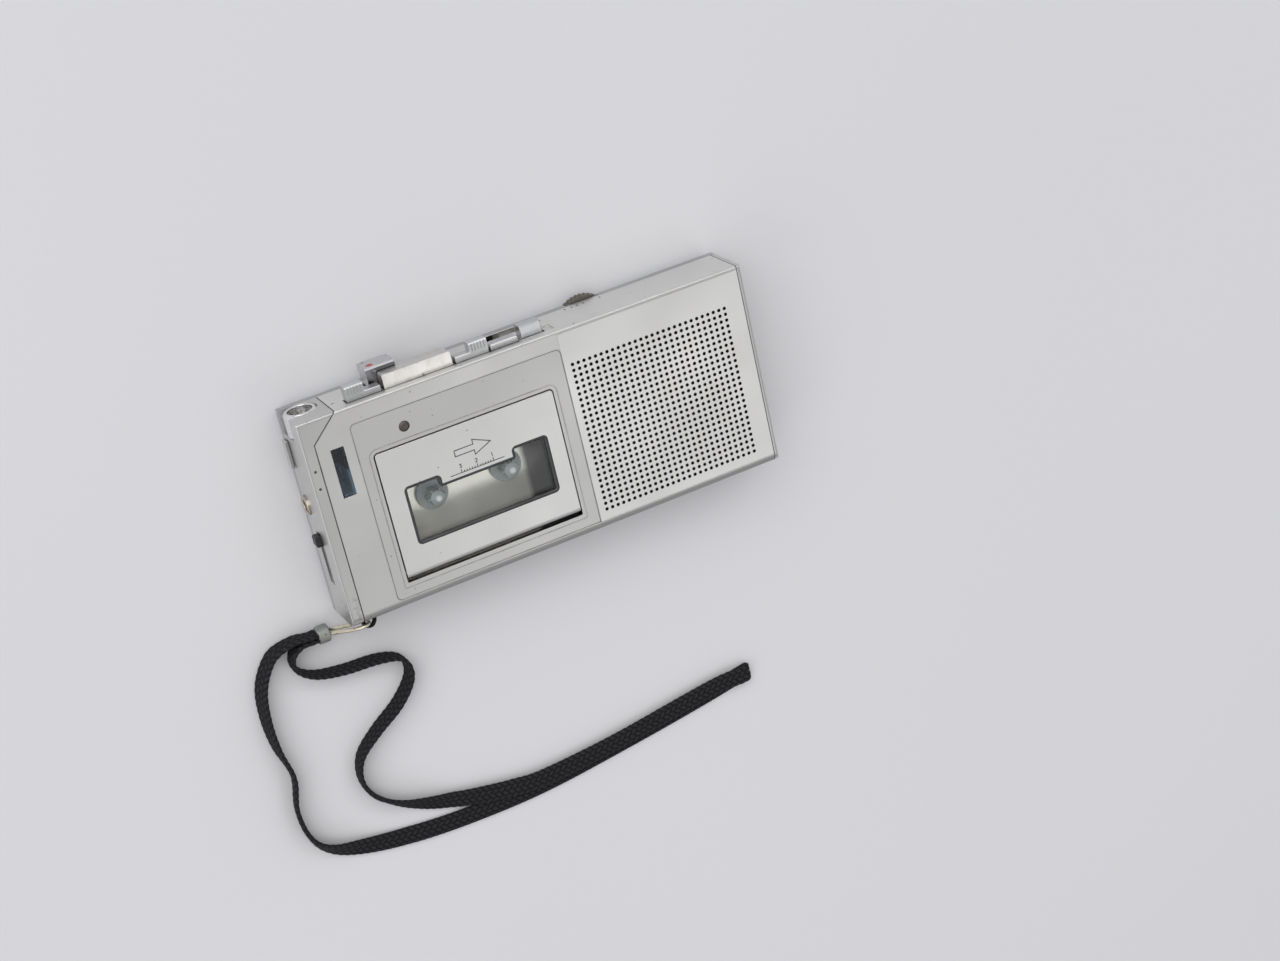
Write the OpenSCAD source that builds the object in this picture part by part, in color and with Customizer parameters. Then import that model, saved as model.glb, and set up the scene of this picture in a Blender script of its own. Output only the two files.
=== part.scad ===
// Handheld microcassette dictation machine with a wrist strap.
// It lies on its back: X runs from the microphone end to the speaker end, +Y is the key side,
// +Z points out of the front. The origin is the centre of the back face. Millimetres.

/* [Case] */
// Length of the case
case_l = 132.5; // [124:0.5:146]
// Width of the case
case_w = 60; // [60:0.5:64]
// Thickness of the case, back to front
case_t = 21; // [21:0.5:24]
// Wall of the mouldings
wall = 1.5; // [1.3:0.1:1.6]
// Height of the rear cover, up to the joint line
rear_h = 5.5; // [5:0.1:5.6]
// Rounding of the rear edges
rear_edge_r = 4; // [2.5:0.5:4.5]
// Rounding of the front edge on the thumb side
thumb_edge_r = 2.5; // [2.5:0.5:4]
// Rounding of the front edge on the key side
key_edge_r = 0.8; // [0.4:0.1:1]
// Rounding of the front edge at both ends
end_edge_r = 0.6; // [0.3:0.1:0.8]
// Gap at the joint lines between mouldings
seam = 0.1; // [0.05:0.05:0.2]
// Clearance of a piece that drops into a pocket
fit = 0.1; // [0.05:0.05:0.15]
// Clearance round keys and sliding knobs
key_gap = 0.35; // [0.25:0.05:0.4]

/* [Ends] */
// Width of the end cap's front strip
cap_strip = 3.45; // [3:0.1:4]
// Reach of the slanted joint line along the case
cap_corner_l = 7.6; // [7:0.1:8.5]
// Reach of the slanted joint line across the case
cap_corner_w = 7; // [6.6:0.1:7.5]
// Thickness of the plate at the speaker end
end_plate_t = 1.2; // [1:0.1:1.5]
// Radius of the microphone barrel
mic_r = 4.7; // [4.2:0.1:4.8]
// Radius of the opening of the microphone
mic_mouth_r = 3.5; // [3:0.1:3.8]
// Length of the microphone barrel
mic_l = 6.4; // [5.5:0.1:7]
// Height of the microphone axis above the back
mic_z = 10.5; // [10.4:0.1:11.5]
// Outer radius of the socket bushing
jack_r = 2.8; // [2.5:0.1:2.8]
// Bore radius of the socket
jack_bore_r = 1.8; // [1.75:0.05:1.9]
// How far the socket bushing stands out of the end
jack_proud = 0.8; // [0.6:0.1:1.6]
// Depth of the socket
jack_l = 11.5; // [10:0.5:12]

/* [Front] */
// Distance of the front panel from the microphone end
panel_from_end = 13.8; // [13.5:0.1:14.5]
// Width of the front panel between the door and the perforated plate
panel_right = 5; // [4.6:0.1:6]
// Thickness of the front panel
panel_t = 0.75; // [0.6:0.05:0.8]
// How far the front panel is sunk below the front
panel_sink = 0.15; // [0.1:0.05:0.25]
// Margin of the front panel from the key side
panel_margin = 5; // [4.5:0.1:6]
// Corner radius of the front panel
panel_r = 1.5; // [1:0.5:3]
// Thickness of the perforated plate
grille_t = 0.8; // [0.6:0.05:0.9]
// Hole diameter of the perforated plate
grille_hole_d = 1; // [0.7:0.05:1.1]
// Columns of holes
grille_cols = 28; // [20:1:28]
// Rows of holes
grille_rows = 26; // [18:1:26]
// Distance of the last column from the speaker end
grille_from_end = 7.25; // [7:0.05:8]
// Distance of the first column from the front panel
grille_from_panel = 2.5; // [2.2:0.1:4]
// Distance of the first row from the key side
grille_from_key = 10.6; // [9:0.1:12]
// Distance of the last row from the thumb side
grille_from_thumb = 5.65; // [5.5:0.05:7]
// Length of the meter window along X
meter_l = 3.7; // [3:0.1:4]
// Width of the meter window along Y
meter_w = 14; // [12:0.5:14]
// Distance of the meter window from the microphone end
meter_from_end = 7.2; // [7:0.1:7.5]
// Distance of the meter window from the key side
meter_from_key = 9.8; // [9.5:0.1:11]
// Radius of the lamp
lamp_r = 1.4; // [1.2:0.05:1.6]

/* [Door] */
// Length of the door
door_l = 52.3; // [50:0.1:58]
// Width of the door
door_w = 37.4; // [37:0.1:37.8]
// Thickness of the door
door_t = 2.1; // [1.8:0.1:2.2]
// Distance of the door from the microphone end
door_from_end = 18.2; // [18:0.05:18.5]
// Distance of the door from the key side
door_from_key = 15.35; // [15:0.05:15.6]
// Gap round the door
door_gap = 0.35; // [0.3:0.05:0.45]
// Gap at the hinge edge of the door
hinge_gap = 0.6; // [0.4:0.05:0.8]
// Radius of the hinge barrel
hinge_r = 1.8; // [1.6:0.1:2]
// Radius of the hinge pin
pin_r = 0.6; // [0.5:0.05:0.7]
// Running clearance of shafts and pins
run = 0.05; // [0.03:0.01:0.08]
// Distance from the window to the far edge of the door
win_from_far_edge = 4.7; // [4.2:0.1:6]
// Width of the window at its two lobes
win_w = 16.7; // [15:0.1:17.5]
// Height of the lobes above the middle of the window
lobe_w = 2.8; // [2:0.1:3.2]
// Length of a lobe
lobe_l = 10.3; // [9:0.1:11]
// Corner radius of the window
win_r = 1.1; // [0.6:0.1:1.3]
// Distance of the window from the door's left edge
win_from_edge = 5.5; // [5:0.1:6]
// Distance of the window from the door's hinge edge
win_from_hinge = 8.9; // [8.5:0.1:9.5]

/* [Keys] */
// Distance of the keys' front faces from the front of the case
key_front = 2.7; // [2.5:0.1:2.9]
// Depth of the front row of keys, front to back
key_d = 3.1; // [2.8:0.1:3.1]
// Height of the tall keys above the case
key_h = 4.1; // [3.6:0.1:4.4]
// Height of the low keys above the case
key_low_h = 1.7; // [1.6:0.1:2]
// Travel of the play and record keys
play_travel = 2.5; // [2:0.1:2.5]
// Height of the record key above the case
rec_h = 5.6; // [5:0.1:6]
// Length of the record key
rec_l = 8.4; // [7.5:0.1:8.4]
// Depth of the record key, front to back
rec_d = 7.1; // [6.5:0.1:7.1]
// Length of the play key
play_l = 19.8; // [19:0.1:19.8]
// Depth of the play key's front part
play_d = 4; // [3.5:0.1:4]
// Length of a tall thumb pad
pad_l = 5.3; // [4.8:0.1:5.4]
// Length of the low plate beside a thumb pad
pad_low_l = 4.4; // [4:0.1:4.5]
// Length of the stop key
stop_l = 8; // [7:0.1:8]
// Length of the eject knob
eject_l = 6.1; // [5.5:0.1:6.2]
// Depth of the eject knob
eject_d = 3.8; // [3:0.1:3.9]
// Height of the eject knob above the case
eject_h = 3.5; // [3:0.1:3.8]
// Travel of the eject knob
eject_travel = 3; // [2:0.1:3]
// Radius of the volume wheel
wheel_r = 8.5; // [7.5:0.1:8.8]
// Thickness of the volume wheel
wheel_t = 2.5; // [2:0.1:2.5]
// How far the volume wheel stands out of the case
wheel_proud = 1.2; // [1:0.1:1.9]
// Notches on the volume wheel's rim
wheel_notches = 40; // [24:2:48]

/* [Mechanism] */
// Thickness of the chassis plate
chassis_t = 1; // [0.8:0.1:1]
// Height of the chassis plate's underside
chassis_z = 8.5; // [8.4:0.1:8.6]
// Distance between the reel spindles
spindle_pitch = 22.2; // [21.5:0.1:23]
// Radius of the spindle flange
flange_r = 4.6; // [4:0.1:4.8]
// Radius of the spindle hub
hub_r = 2.1; // [1.8:0.1:2.3]
// Radius of the capstan
capstan_r = 0.75; // [0.6:0.05:0.9]
// Gap between the flywheel and the motor's pulley
flywheel_gap = 0.56; // [0.4:0.02:1]
// Thickness of the flywheel
flywheel_t = 2.6; // [2.2:0.1:2.6]
// Radius of the drive pinion on the flywheel
pinion_r = 2.6; // [2:0.1:2.8]
// Radius of the drive disc under the take-up spindle
drive_disc_r = 4.2; // [3.8:0.1:4.5]
// Radius of the motor
motor_r = 5.4; // [4.8:0.1:5.5]
// Height of the motor
motor_h = 5; // [4:0.1:5]
// Radius of the motor pulley
pulley_r = 2; // [1.6:0.1:2.2]
// Thickness of the belt
belt_t = 0.7; // [0.5:0.1:0.8]
// Radius of the pinch roller
roller_r = 2.6; // [2.2:0.1:2.7]
// Thickness of the circuit boards
board_t = 0.8; // [0.6:0.1:0.9]

/* [Sound and power] */
// How far the loudspeaker stays inside the field of holes
speaker_inset = 1.875; // [1:0.125:4]
// Depth of the loudspeaker
speaker_d = 3.4; // [3:0.1:3.4]
// Radius of a battery cell
cell_r = 7.1; // [7:0.05:7.15]
// Room for the contacts at each end of the cells
contact_room = 1.8; // [1.5:0.1:2.5]
// Distance between the cells
cell_pitch = 15; // [14.8:0.1:15.2]
// Thickness of the dust cloth
cloth_t = 0.3; // [0.2:0.05:0.4]

/* [Strap] */
// Width of the flat strap
strap_w = 5.5; // [4:0.5:6]
// Thickness of the flat strap
strap_t = 1.3; // [1:0.1:1.3]
// Radius of the cord loop
loop_cord_r = 0.65; // [0.5:0.05:0.7]
// Radius of the clip's wire
clip_wire_r = 0.45; // [0.35:0.05:0.45]
// Radius of the sleeve
sleeve_r = 2.6; // [2.4:0.1:2.6]

/* [Hidden] */
$fn = 48;
eps = 0.01;
xl = -case_l / 2;
xr = case_l / 2;
yk = case_w / 2;
yt = -case_w / 2;
zf = case_t;
cap_x = xl + cap_strip;
end_x = xr - end_plate_t;

// Front panel, door and grille, by their edges
door_x = [xl + door_from_end, xl + door_from_end + door_l];
panel_x = [xl + panel_from_end, door_x[1] + panel_right];
panel_y = [yt + thumb_edge_r + fit, yk - panel_margin];
panel_top = zf - panel_sink;
door_y = [yk - door_from_key - door_w, yk - door_from_key];
door_mid = [(door_x[0] + door_x[1]) / 2, (door_y[0] + door_y[1]) / 2];
door_z = zf - door_t;
hinge_y = door_y[0] + hinge_r;
hinge_z = zf - hinge_r;
hinge_ear = 2.6;
door_corner_r = 0.9;
win_x = [door_x[0] + win_from_edge, door_x[1] - win_from_far_edge];
win_y = [door_y[0] + win_from_hinge, door_y[0] + win_from_hinge + win_w];
lens_t = 1;
lens_lip = 1.2;
grille_x = [panel_x[1] + fit / 2, end_x - seam];
grille_y = [yt + thumb_edge_r + fit, yk - key_edge_r - 0.3];
hole_x0 = panel_x[1] + grille_from_panel;
hole_x1 = xr - grille_from_end;
hole_y0 = yt + grille_from_thumb;
hole_y1 = yk - grille_from_key;
grille_pitch = [(hole_x1 - hole_x0) / (grille_cols - 1), (hole_y1 - hole_y0) / (grille_rows - 1)];
sound_margin = 1.2;
meter_x = [xl + meter_from_end, xl + meter_from_end + meter_l];
meter_y = [yk - meter_from_key - meter_w, yk - meter_from_key];
meter_z0 = 12.4;
meter_pivot_z = 13.7;
lamp = [door_x[0] + 10, door_y[1] + 4.8];

// Keys, by their edges along X and Z
key_z = [zf - key_front - key_d, zf - key_front];
key_in = yk - wall - 0.5;
rewind_x = xl + 15.75;
play_x = rewind_x + pad_l + pad_low_l + 1;
forward_x = play_x + play_l + 0.9;
stop_x = forward_x + pad_l + pad_low_l + key_gap + 0.3;
eject_x = stop_x + stop_l + 1.4;
play_z = [zf - key_front - play_d, zf - key_front];
rec_z = [play_z[0] - 0.4 - rec_d, play_z[0] - 0.4];
rec_x = play_x - 2.8;
play_back_x = rec_x + rec_l + 0.4;
play_back_d = 4;
play_stem_l = 4;
play_stem_h = 2;
eject_z = [key_z[1] - 0.8 - eject_d, key_z[1] - 0.8];
eject_slot_z = [eject_z[0] + 1.2, eject_z[1] - 1];
latch_win_z = [rear_h + 0.6, rear_h + 4.8];
latch_win_x = [stop_x + 1.4, eject_x + 2.5];
wheel_x = panel_x[1] + 15.35;
wheel_y = yk + wheel_proud - wheel_r;
wheel_z = 1.85;
wheel_shaft_r = 1.5;

// Switches and socket on the end cap
end_wall_x = xl + wall;
sens_y = yk - 12;
sens_z = 6.6;
sens_w = 8;
sens_h = 2.8;
sens_travel = 5;
sens_neck = sens_y + 2.6;
speed_y = -6;
speed_z = 12;
speed_size = 3;
speed_travel = 11;
knob_proud = 1.7;
jack_y = 3.3;
jack_z = 8.5;
mic_x = xl + mic_r;
mic_y0 = yk - mic_l;

// Mechanism, laid out round the cassette
spindle_y = door_mid[1] - 1.55;
supply = [door_mid[0] - spindle_pitch / 2 + 0.4, spindle_y];
takeup = [door_mid[0] + spindle_pitch / 2 + 0.4, spindle_y];
capstan = [takeup[0] - 2.1, takeup[1] + 14.2];
chassis_top = chassis_z + chassis_t;
chassis_x = [xl + 15.25, panel_x[1] - 1.65];
chassis_y = [yt + wall + 0.5, yk - 4.6];
drive_gap = 0.08;
train_d = norm(takeup - capstan);
idler_r = (train_d - pinion_r - drive_disc_r) / 2 - drive_gap;
idler = capstan + (takeup - capstan) * ((pinion_r + idler_r + drive_gap) / train_d);
disc_z = chassis_z - 0.4 - 1.4;
flywheel_z = disc_z - 0.5 - flywheel_t;
motor = [door_x[1] - 5, capstan[1] + 10.8];
flywheel_r = norm(motor - capstan) - pulley_r - 0.4 - flywheel_gap;
belt_z = flywheel_z + flywheel_t / 2;
belt_gap = 0.12;
bridge_t = 0.9;
bridge_z = chassis_top + 0.3;
bridge_x = [play_back_x - 6, motor[0] - motor_r - 0.65];
stem_y = yk - 4.2;
bridge_y = [capstan[1] + 6.3, stem_y - 0.5];
head_z = 17.2;
roller = [capstan[0], capstan[1] + capstan_r + roller_r + 0.15 + play_travel];
board_z = wall + 0.3;
pillars = [[chassis_x[0] + 3, yk - 7.4], [chassis_x[1] - 1.4, yk - 7.2],
           [chassis_x[0] + 3, yt + 5], [chassis_x[1] - 2.6, yt + 5]];
pillar_r = 2;
posts = [[xl + 9.25, yt + 6], [xl + 12.75, yk - 6], [panel_x[1] + 1.25, yk - 5.5], [xr - 4.25, yk - 6]];
post_r = 2.2;
screw_r = 1;

// Battery bay, speaker and volume board
bay_x = [panel_x[1] + 0.8, end_x - 1];
cell_z = wall + 0.1 + cell_r;
cell_y = [yt + 10, yt + 10 + cell_pitch];
bay_y = [cell_y[0] - cell_r - 0.4, cell_y[1] + cell_r + 0.5];
bay_wall = 1;
bay_top = cell_z + cell_r + 0.2;
bay_roof = 0.4;
lid_x0 = bay_x[0];
lid_y = [yt + rear_edge_r - 0.2, bay_y[1]];
lid_tongue = 0.6;
lid_gap = 0.15;
contact_t = 0.4;
cell_l = bay_x[1] - bay_x[0] - 2 * contact_room;
cell_x0 = bay_x[0] + contact_room;
speaker = [(hole_x0 + hole_x1) / 2, (hole_y0 + hole_y1) / 2];
speaker_r = min(hole_x1 - hole_x0, hole_y1 - hole_y0) / 2 - speaker_inset;
cloth_z = zf - grille_t - cloth_t;
volume_board_x = [wheel_x - wheel_r - 2, wheel_x + wheel_r + 1.5];
volume_board_y = [bay_y[1] + bay_wall + 0.6, yk - wall - 0.5];
volume_board_z = wheel_z + wheel_t + 0.4;

// Strap: where it hangs on the case and the way it lies on the table
eye = [xl + 6.95, yt + 1.4, 10.3];
eye_half = 2.7;
eye_reach = 5.6;
loop_r = 1.65;
// The strap's points are drawn for a case corner here, and move with the corner
strap_corner = [-66.25, -30];
strap_move = [xl - strap_corner[0], yt - strap_corner[1], 0];
sleeve_x = [-73, -69.5];
sleeve_yz = [-36, 3.4];
// Each point: place, and how far the strap leans from flat (0) to on its edge (90)
strap_route = [
    [-73, -35.3, 3.4, 90], [-75.5, -35.3, 3.4, 90], [-80, -34.9, 3.2, 86], [-86.5, -37, 2.8, 76],
    [-91.5, -44.5, 0, 70], [-93, -54, 0, 72], [-92.5, -64, 0, 80], [-90.4, -74, 0, 95],
    [-92.2, -84, 0, 100], [-91, -93.5, 0, 88], [-86.5, -99.6, 0, 52], [-78, -103.6, 0, 18],
    [-64, -106.8, 0, 0], [-44, -108.8, 0, 0], [-20, -109, 0, 0], [8, -106.4, 0, 0],
    [34, -103.2, 0, 0], [48, -101, 0, 0], [50.5, -100.6, 1.5, 0], [48, -100.6, 2.3, 0],
    [40, -100.6, 2.1, 0], [27, -102, 2.1, 0], [3, -104.9, 2.1, 0], [-20, -106.2, 2.1, 0],
    [-30, -105.2, 2.1, 0], [-40, -103.3, 2, 4], [-48, -101.4, 1.4, 14], [-56, -98.6, 0, 34],
    [-64, -94.6, 0, 62], [-70, -89.4, 0, 84], [-72.4, -82.8, 0, 92], [-70.6, -76, 0, 88],
    [-64.4, -70.4, 0, 80], [-56, -64.6, 0, 76], [-50.8, -58, 0, 80], [-51.6, -52.2, 0, 88],
    [-58, -49.7, 0, 98], [-68.5, -48.8, 0, 98], [-76.6, -47, 0, 93], [-81.2, -43.2, 0, 90],
    [-80.9, -38.9, 3, 90], [-78, -36.8, 3.3, 90], [-75.5, -36.7, 3.4, 90], [-73, -36.7, 3.4, 90]
];
strap_fold = 18;
clip_route = [
    [-69.5, -36, 4.9], [-66, -35.5, 8.4], [-62.6, -34.9, 11.4], [-60.9, -34.5, 12.2], [-59.9, -34.4, 11.6],
    [-59.6, -34.4, 10.3], [-60, -34.4, 8.9], [-61.2, -34.6, 8.2], [-63, -34.9, 7.4], [-66, -35.5, 4.9],
    [-69.5, -36, 2.2]
];

// Building blocks

// Block between two corners given as ranges
module block(x, y, z) {
    translate([x[0], y[0], z[0]]) cube([x[1] - x[0], y[1] - y[0], z[1] - z[0]]);
}

// Waste outside a quarter round, at the lower left corner
module corner_waste(r) {
    difference() {
        translate([-1, -1]) square(r + 1);
        translate([r, r]) circle(r);
    }
}

// Rectangle with its own radius at each corner, counter-clockwise from the lower left
module rounded(x, y, r) {
    difference() {
        translate([x[0], y[0]]) square([x[1] - x[0], y[1] - y[0]]);
        for (k = [0:3])
            if (r[k] > 0)
                translate([k == 0 || k == 3 ? x[0] : x[1], k < 2 ? y[0] : y[1]])
                    rotate(90 * k) corner_waste(r[k]);
    }
}

// Profile in Y and Z, drawn out along X
module along_x(x0, x1) {
    translate([x0, 0, 0]) rotate([90, 0, 90]) linear_extrude(x1 - x0) children();
}

// Profile in X and Z, drawn out along Y
module along_y(y0, y1) {
    translate([0, y1, 0]) rotate([90, 0, 0]) linear_extrude(y1 - y0) children();
}

// Outline in X and Y, drawn out along Z
module along_z(z0, z1) {
    translate([0, 0, z0]) linear_extrude(z1 - z0) children();
}

// Cross-section of the case, drawn in by the inset
module case_section(inset = 0) {
    rear = max(rear_edge_r - inset, 0);
    rounded([yt + inset, yk - inset], [inset, zf - inset],
            [rear, rear, max(key_edge_r - inset, 0), max(thumb_edge_r - inset, 0)]);
}

// Lengthwise section of the case, drawn in by the inset
module length_section(inset = 0) {
    rear = max(rear_edge_r - inset, 0);
    front = max(end_edge_r - inset, 0);
    rounded([xl + inset, xr - inset], [inset, zf - inset], [rear, rear, front, front]);
}

// The whole case as one solid form
module case_form(inset = 0) {
    intersection() {
        along_x(xl, xr) case_section(inset);
        along_y(yt, yk) length_section(inset);
    }
}

// Plan outline of the end cap with its slanted corner, grown by a gap
module cap_outline(gap = 0) {
    polygon([
        [xl - 1, yt - 1], [cap_x + gap, yt - 1], [cap_x + gap, yk - cap_corner_w - gap / 2],
        [cap_x + cap_corner_l + gap, yk], [cap_x + cap_corner_l + gap, yk + 1], [xl - 1, yk + 1]
    ]);
}

// Outline of the window with its two lobes, grown by a margin
module window_outline(grow = 0) {
    r = win_r + grow;
    x0 = win_x[0] - grow;
    x1 = win_x[1] + grow;
    y0 = win_y[0] - grow;
    y1 = win_y[1] + grow;
    union() {
        rounded([x0, x1], [y0, y1 - lobe_w], [r, r, 0, 0]);
        rounded([x0, x0 + lobe_l + 2 * grow], [y1 - lobe_w - r, y1], [0, 0, r, r]);
        rounded([x1 - lobe_l - 2 * grow, x1], [y1 - lobe_w - r, y1], [0, 0, r, r]);
    }
}

// Smooth curve through a list of points
function spline(p, i, t) =
    let (a = p[max(i - 1, 0)], b = p[i], c = p[i + 1], d = p[min(i + 2, len(p) - 1)])
    0.5 * (2 * b + (c - a) * t + (2 * a - 5 * b + 4 * c - d) * t * t + (3 * b - a - 3 * c + d) * t * t * t);

function smooth(p, steps) = concat(
    [for (i = [0:len(p) - 2], k = [0:steps - 1]) spline(p, i, k / steps)], [p[len(p) - 1]]);

function unit(v) = v / norm(v);

function heading(p, i) = unit(p[min(i + 1, len(p) - 1)] - p[max(i - 1, 0)]);

// Solid swept through rings of points, closed by end faces or joined end to start
module swept(rings, joined = false) {
    n = len(rings[0]);
    m = len(rings);
    last = joined ? m - 1 : m - 2;
    polyhedron(
        points = [for (ring = rings, q = ring) q],
        faces = concat(
            [for (i = [0:last], k = [0:n - 1])
                [i * n + k, ((i + 1) % m) * n + k, i * n + (k + 1) % n]],
            [for (i = [0:last], k = [0:n - 1])
                [i * n + (k + 1) % n, ((i + 1) % m) * n + k, ((i + 1) % m) * n + (k + 1) % n]],
            joined ? [] : [[for (k = [0:n - 1]) k], [for (k = [n - 1:-1:0]) (m - 1) * n + k]]
        ),
        convexity = 6
    );
}

// Round tube along a path that never runs along the across direction
module tube(path, r, across, sides = 8) {
    swept([for (i = [0:len(path) - 1])
        let (t = heading(path, i), u = unit(cross(t, across)), v = cross(t, u))
        [for (k = [0:sides - 1]) path[i] + r * (cos(360 * k / sides) * u + sin(360 * k / sides) * v)]]);
}

// Case

module front_case() {
    color("silver")
    difference() {
        union() {
            difference() {
                along_x(cap_x + seam, end_x - seam) case_section();
                along_x(cap_x - 1, end_x + 1) case_section(wall);
            }
            for (p = posts)
                translate([p[0], p[1], rear_h + seam]) cylinder(r = post_r, h = zf - wall - rear_h);
            for (x = [door_x[0] - 0.5 - hinge_ear, door_x[1] + 0.5])
                block([x, x + hinge_ear], [hinge_y - 2, hinge_y + 2], [hinge_z - 2, zf - wall + eps]);
            block([eye[0] - eye_half - 0.6, eye[0] + eye_half + 0.6], [yt + eps, eye[1] + 2.8],
                  [eye[2] - 3.3, eye[2] + 3.3]);
        }
        block([xl, xr], [yt - 1, yk + 1], [-1, rear_h + seam / 2]);
        along_z(0, zf + 1) cap_outline(seam);
        front_openings();
        key_openings();
        strap_eye();
        for (p = posts)
            translate([p[0], p[1], 0]) cylinder(r = screw_r, h = zf - wall - 1.5);
        translate([door_x[0] - 4, hinge_y, hinge_z]) rotate([0, 90, 0]) cylinder(r = pin_r, h = door_l + 8);
    }
}

// Pockets and openings in the front
module front_openings() {
    along_z(panel_top - panel_t, zf + 1)
        rounded([panel_x[0] - fit / 2, panel_x[1] + fit / 2], [panel_y[0] - fit / 2, panel_y[1] + fit / 2],
                [panel_r, 0, panel_r, panel_r]);
    block([door_x[0] - 0.8, door_x[1] + 0.8], [door_y[0] - 1, door_y[1] + 0.8], [zf - 3, zf]);
    block([grille_x[0] - eps, grille_x[1] + 1], [grille_y[0] - fit / 2, grille_y[1] + fit / 2],
          [zf - grille_t, zf + 1]);
    block([hole_x0 - sound_margin, hole_x1 + sound_margin],
          [hole_y0 - sound_margin, hole_y1 + sound_margin], [zf - 3, zf]);
    block(meter_x, meter_y, [zf - 3, zf + 1]);
    translate([lamp[0], lamp[1], zf - 3]) cylinder(r = lamp_r + fit, h = 4);
}

// Openings in the key side
module key_openings() {
    through = [yk - wall - 1, yk + 1];
    block([rewind_x - key_gap, rewind_x + pad_l + pad_low_l + key_gap], through,
          [key_z[0] - key_gap, key_z[1] + key_gap]);
    block([forward_x - key_gap, forward_x + pad_l + pad_low_l + key_gap], through,
          [key_z[0] - key_gap, key_z[1] + key_gap]);
    block([play_x - key_gap, play_x + play_l + key_gap], through,
          [play_z[0] - key_gap, play_z[1] + key_gap]);
    block([play_back_x - key_gap, play_x + play_l + key_gap], through,
          [play_z[0] - play_back_d - key_gap, play_z[0]]);
    block([rec_x - key_gap, rec_x + rec_l + key_gap], through, [rec_z[0] - key_gap, rec_z[1] + key_gap]);
    block([stop_x - key_gap, stop_x + stop_l + key_gap], through, [key_z[0] - key_gap, key_z[1] + key_gap]);
    block([eject_x + 2 - key_gap, eject_x + 4 + eject_travel + key_gap], through,
          [eject_slot_z[0] - key_gap, eject_slot_z[1] + key_gap]);
    block([eject_x - 1, eject_x + eject_l + eject_travel + 0.5], [yk - 0.5, yk + 1],
          [eject_z[0] - 0.5, eject_z[1] + 0.5]);
    block(latch_win_x, through, latch_win_z);
}

// Pocket for the cord loop, and the holes of its pin
module strap_eye() {
    block([eye[0] - eye_half, eye[0] + eye_half], [yt - 1, eye[1] + 2.4], [eye[2] - 1.5, eye[2] + 1.5]);
    translate([eye[0], eye[1], eye[2] - 2.9]) cylinder(r = 0.75, h = 5.8);
}

module front_panel() {
    color("lightgray")
    difference() {
        along_z(panel_top - panel_t, panel_top)
            rounded(panel_x, panel_y, [panel_r, 0, panel_r, panel_r]);
        along_z(zf - 3, zf + 1)
            rounded([door_x[0] - door_gap, door_x[1] + door_gap],
                    [door_y[0] - hinge_gap, door_y[1] + door_gap],
                    [door_gap, door_gap, door_corner_r + door_gap, door_corner_r + door_gap]);
        translate([lamp[0], lamp[1], zf - 3]) cylinder(r = lamp_r + fit, h = 4);
    }
}

module speaker_grille() {
    color("gainsboro")
    along_z(zf - grille_t, zf)
    difference() {
        translate([grille_x[0], grille_y[0]])
            square([grille_x[1] - grille_x[0], grille_y[1] - grille_y[0]]);
        for (i = [0:grille_cols - 1], j = [0:grille_rows - 1])
            translate([hole_x0 + i * grille_pitch[0], hole_y0 + j * grille_pitch[1]])
                circle(d = grille_hole_d, $fn = 24);
    }
}

module rear_cover() {
    color("darkgray")
    difference() {
        union() {
            difference() {
                intersection() {
                    case_form();
                    block([xl - 1, xr + 1], [yt - 1, yk + 1], [-1, rear_h - seam / 2]);
                }
                case_form(wall);
            }
            for (p = pillars) {
                translate([p[0], p[1], wall - eps]) cylinder(r = pillar_r + 1, h = board_z - wall + eps);
                translate([p[0], p[1], wall - eps]) cylinder(r = pillar_r, h = chassis_z - wall + eps);
            }
            for (p = posts)
                translate([p[0], p[1], wall - eps]) cylinder(r = post_r, h = rear_h - wall + eps);
            for (x = [volume_board_x[0] + 2, volume_board_x[1] - 2])
                translate([x, volume_board_y[0] + 2, wall - eps])
                    cylinder(r = 1.5, h = volume_board_z - wall + eps);
            bay_walls();
        }
        lid_opening();
        wheel_slot();
        for (p = pillars)
            translate([p[0], p[1], chassis_z - 5]) cylinder(r = screw_r, h = 6);
        for (p = posts) {
            translate([p[0], p[1], -1]) cylinder(r = screw_r + 0.15, h = rear_h + 2);
            translate([p[0], p[1], -1]) cylinder(r = 2.05, h = 2.2);
        }
    }
}

// Partitions of the battery bay, with a thin roof under the speaker
module bay_walls() {
    difference() {
        block([bay_x[0] - bay_wall, bay_x[1]], [bay_y[0] - 0.2, bay_y[1] + bay_wall],
              [wall - eps, bay_top + bay_roof]);
        block([bay_x[0], bay_x[1] + 1], bay_y, [0, bay_top]);
    }
}

// Opening of the battery lid, with the ledges that its tongues run on
module lid_opening() {
    block([lid_x0, xr + 1], [lid_y[0] - lid_gap, lid_y[1] + lid_gap], [-1, wall]);
    block([lid_x0, xr + 1], [lid_y[0] - lid_tongue - lid_gap, lid_y[1] + lid_tongue + lid_gap],
          [0.6, wall]);
    block([bay_x[1], xr + 1], [lid_y[0] - lid_gap, lid_y[1] + lid_gap], [-1, rear_h + 1]);
}

// Slot where the volume wheel comes through the side
module wheel_slot() {
    half = sqrt(pow(wheel_r, 2) - pow(wheel_r - wheel_proud, 2)) + 0.6;
    block([wheel_x - half, wheel_x + half], [yk - 4, yk + 1], [wheel_z - 0.3, wheel_z + wheel_t + 0.3]);
    translate([wheel_x, wheel_y, wheel_z - 0.3]) cylinder(r = wheel_r + 0.4, h = wheel_t + 0.6);
}

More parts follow.
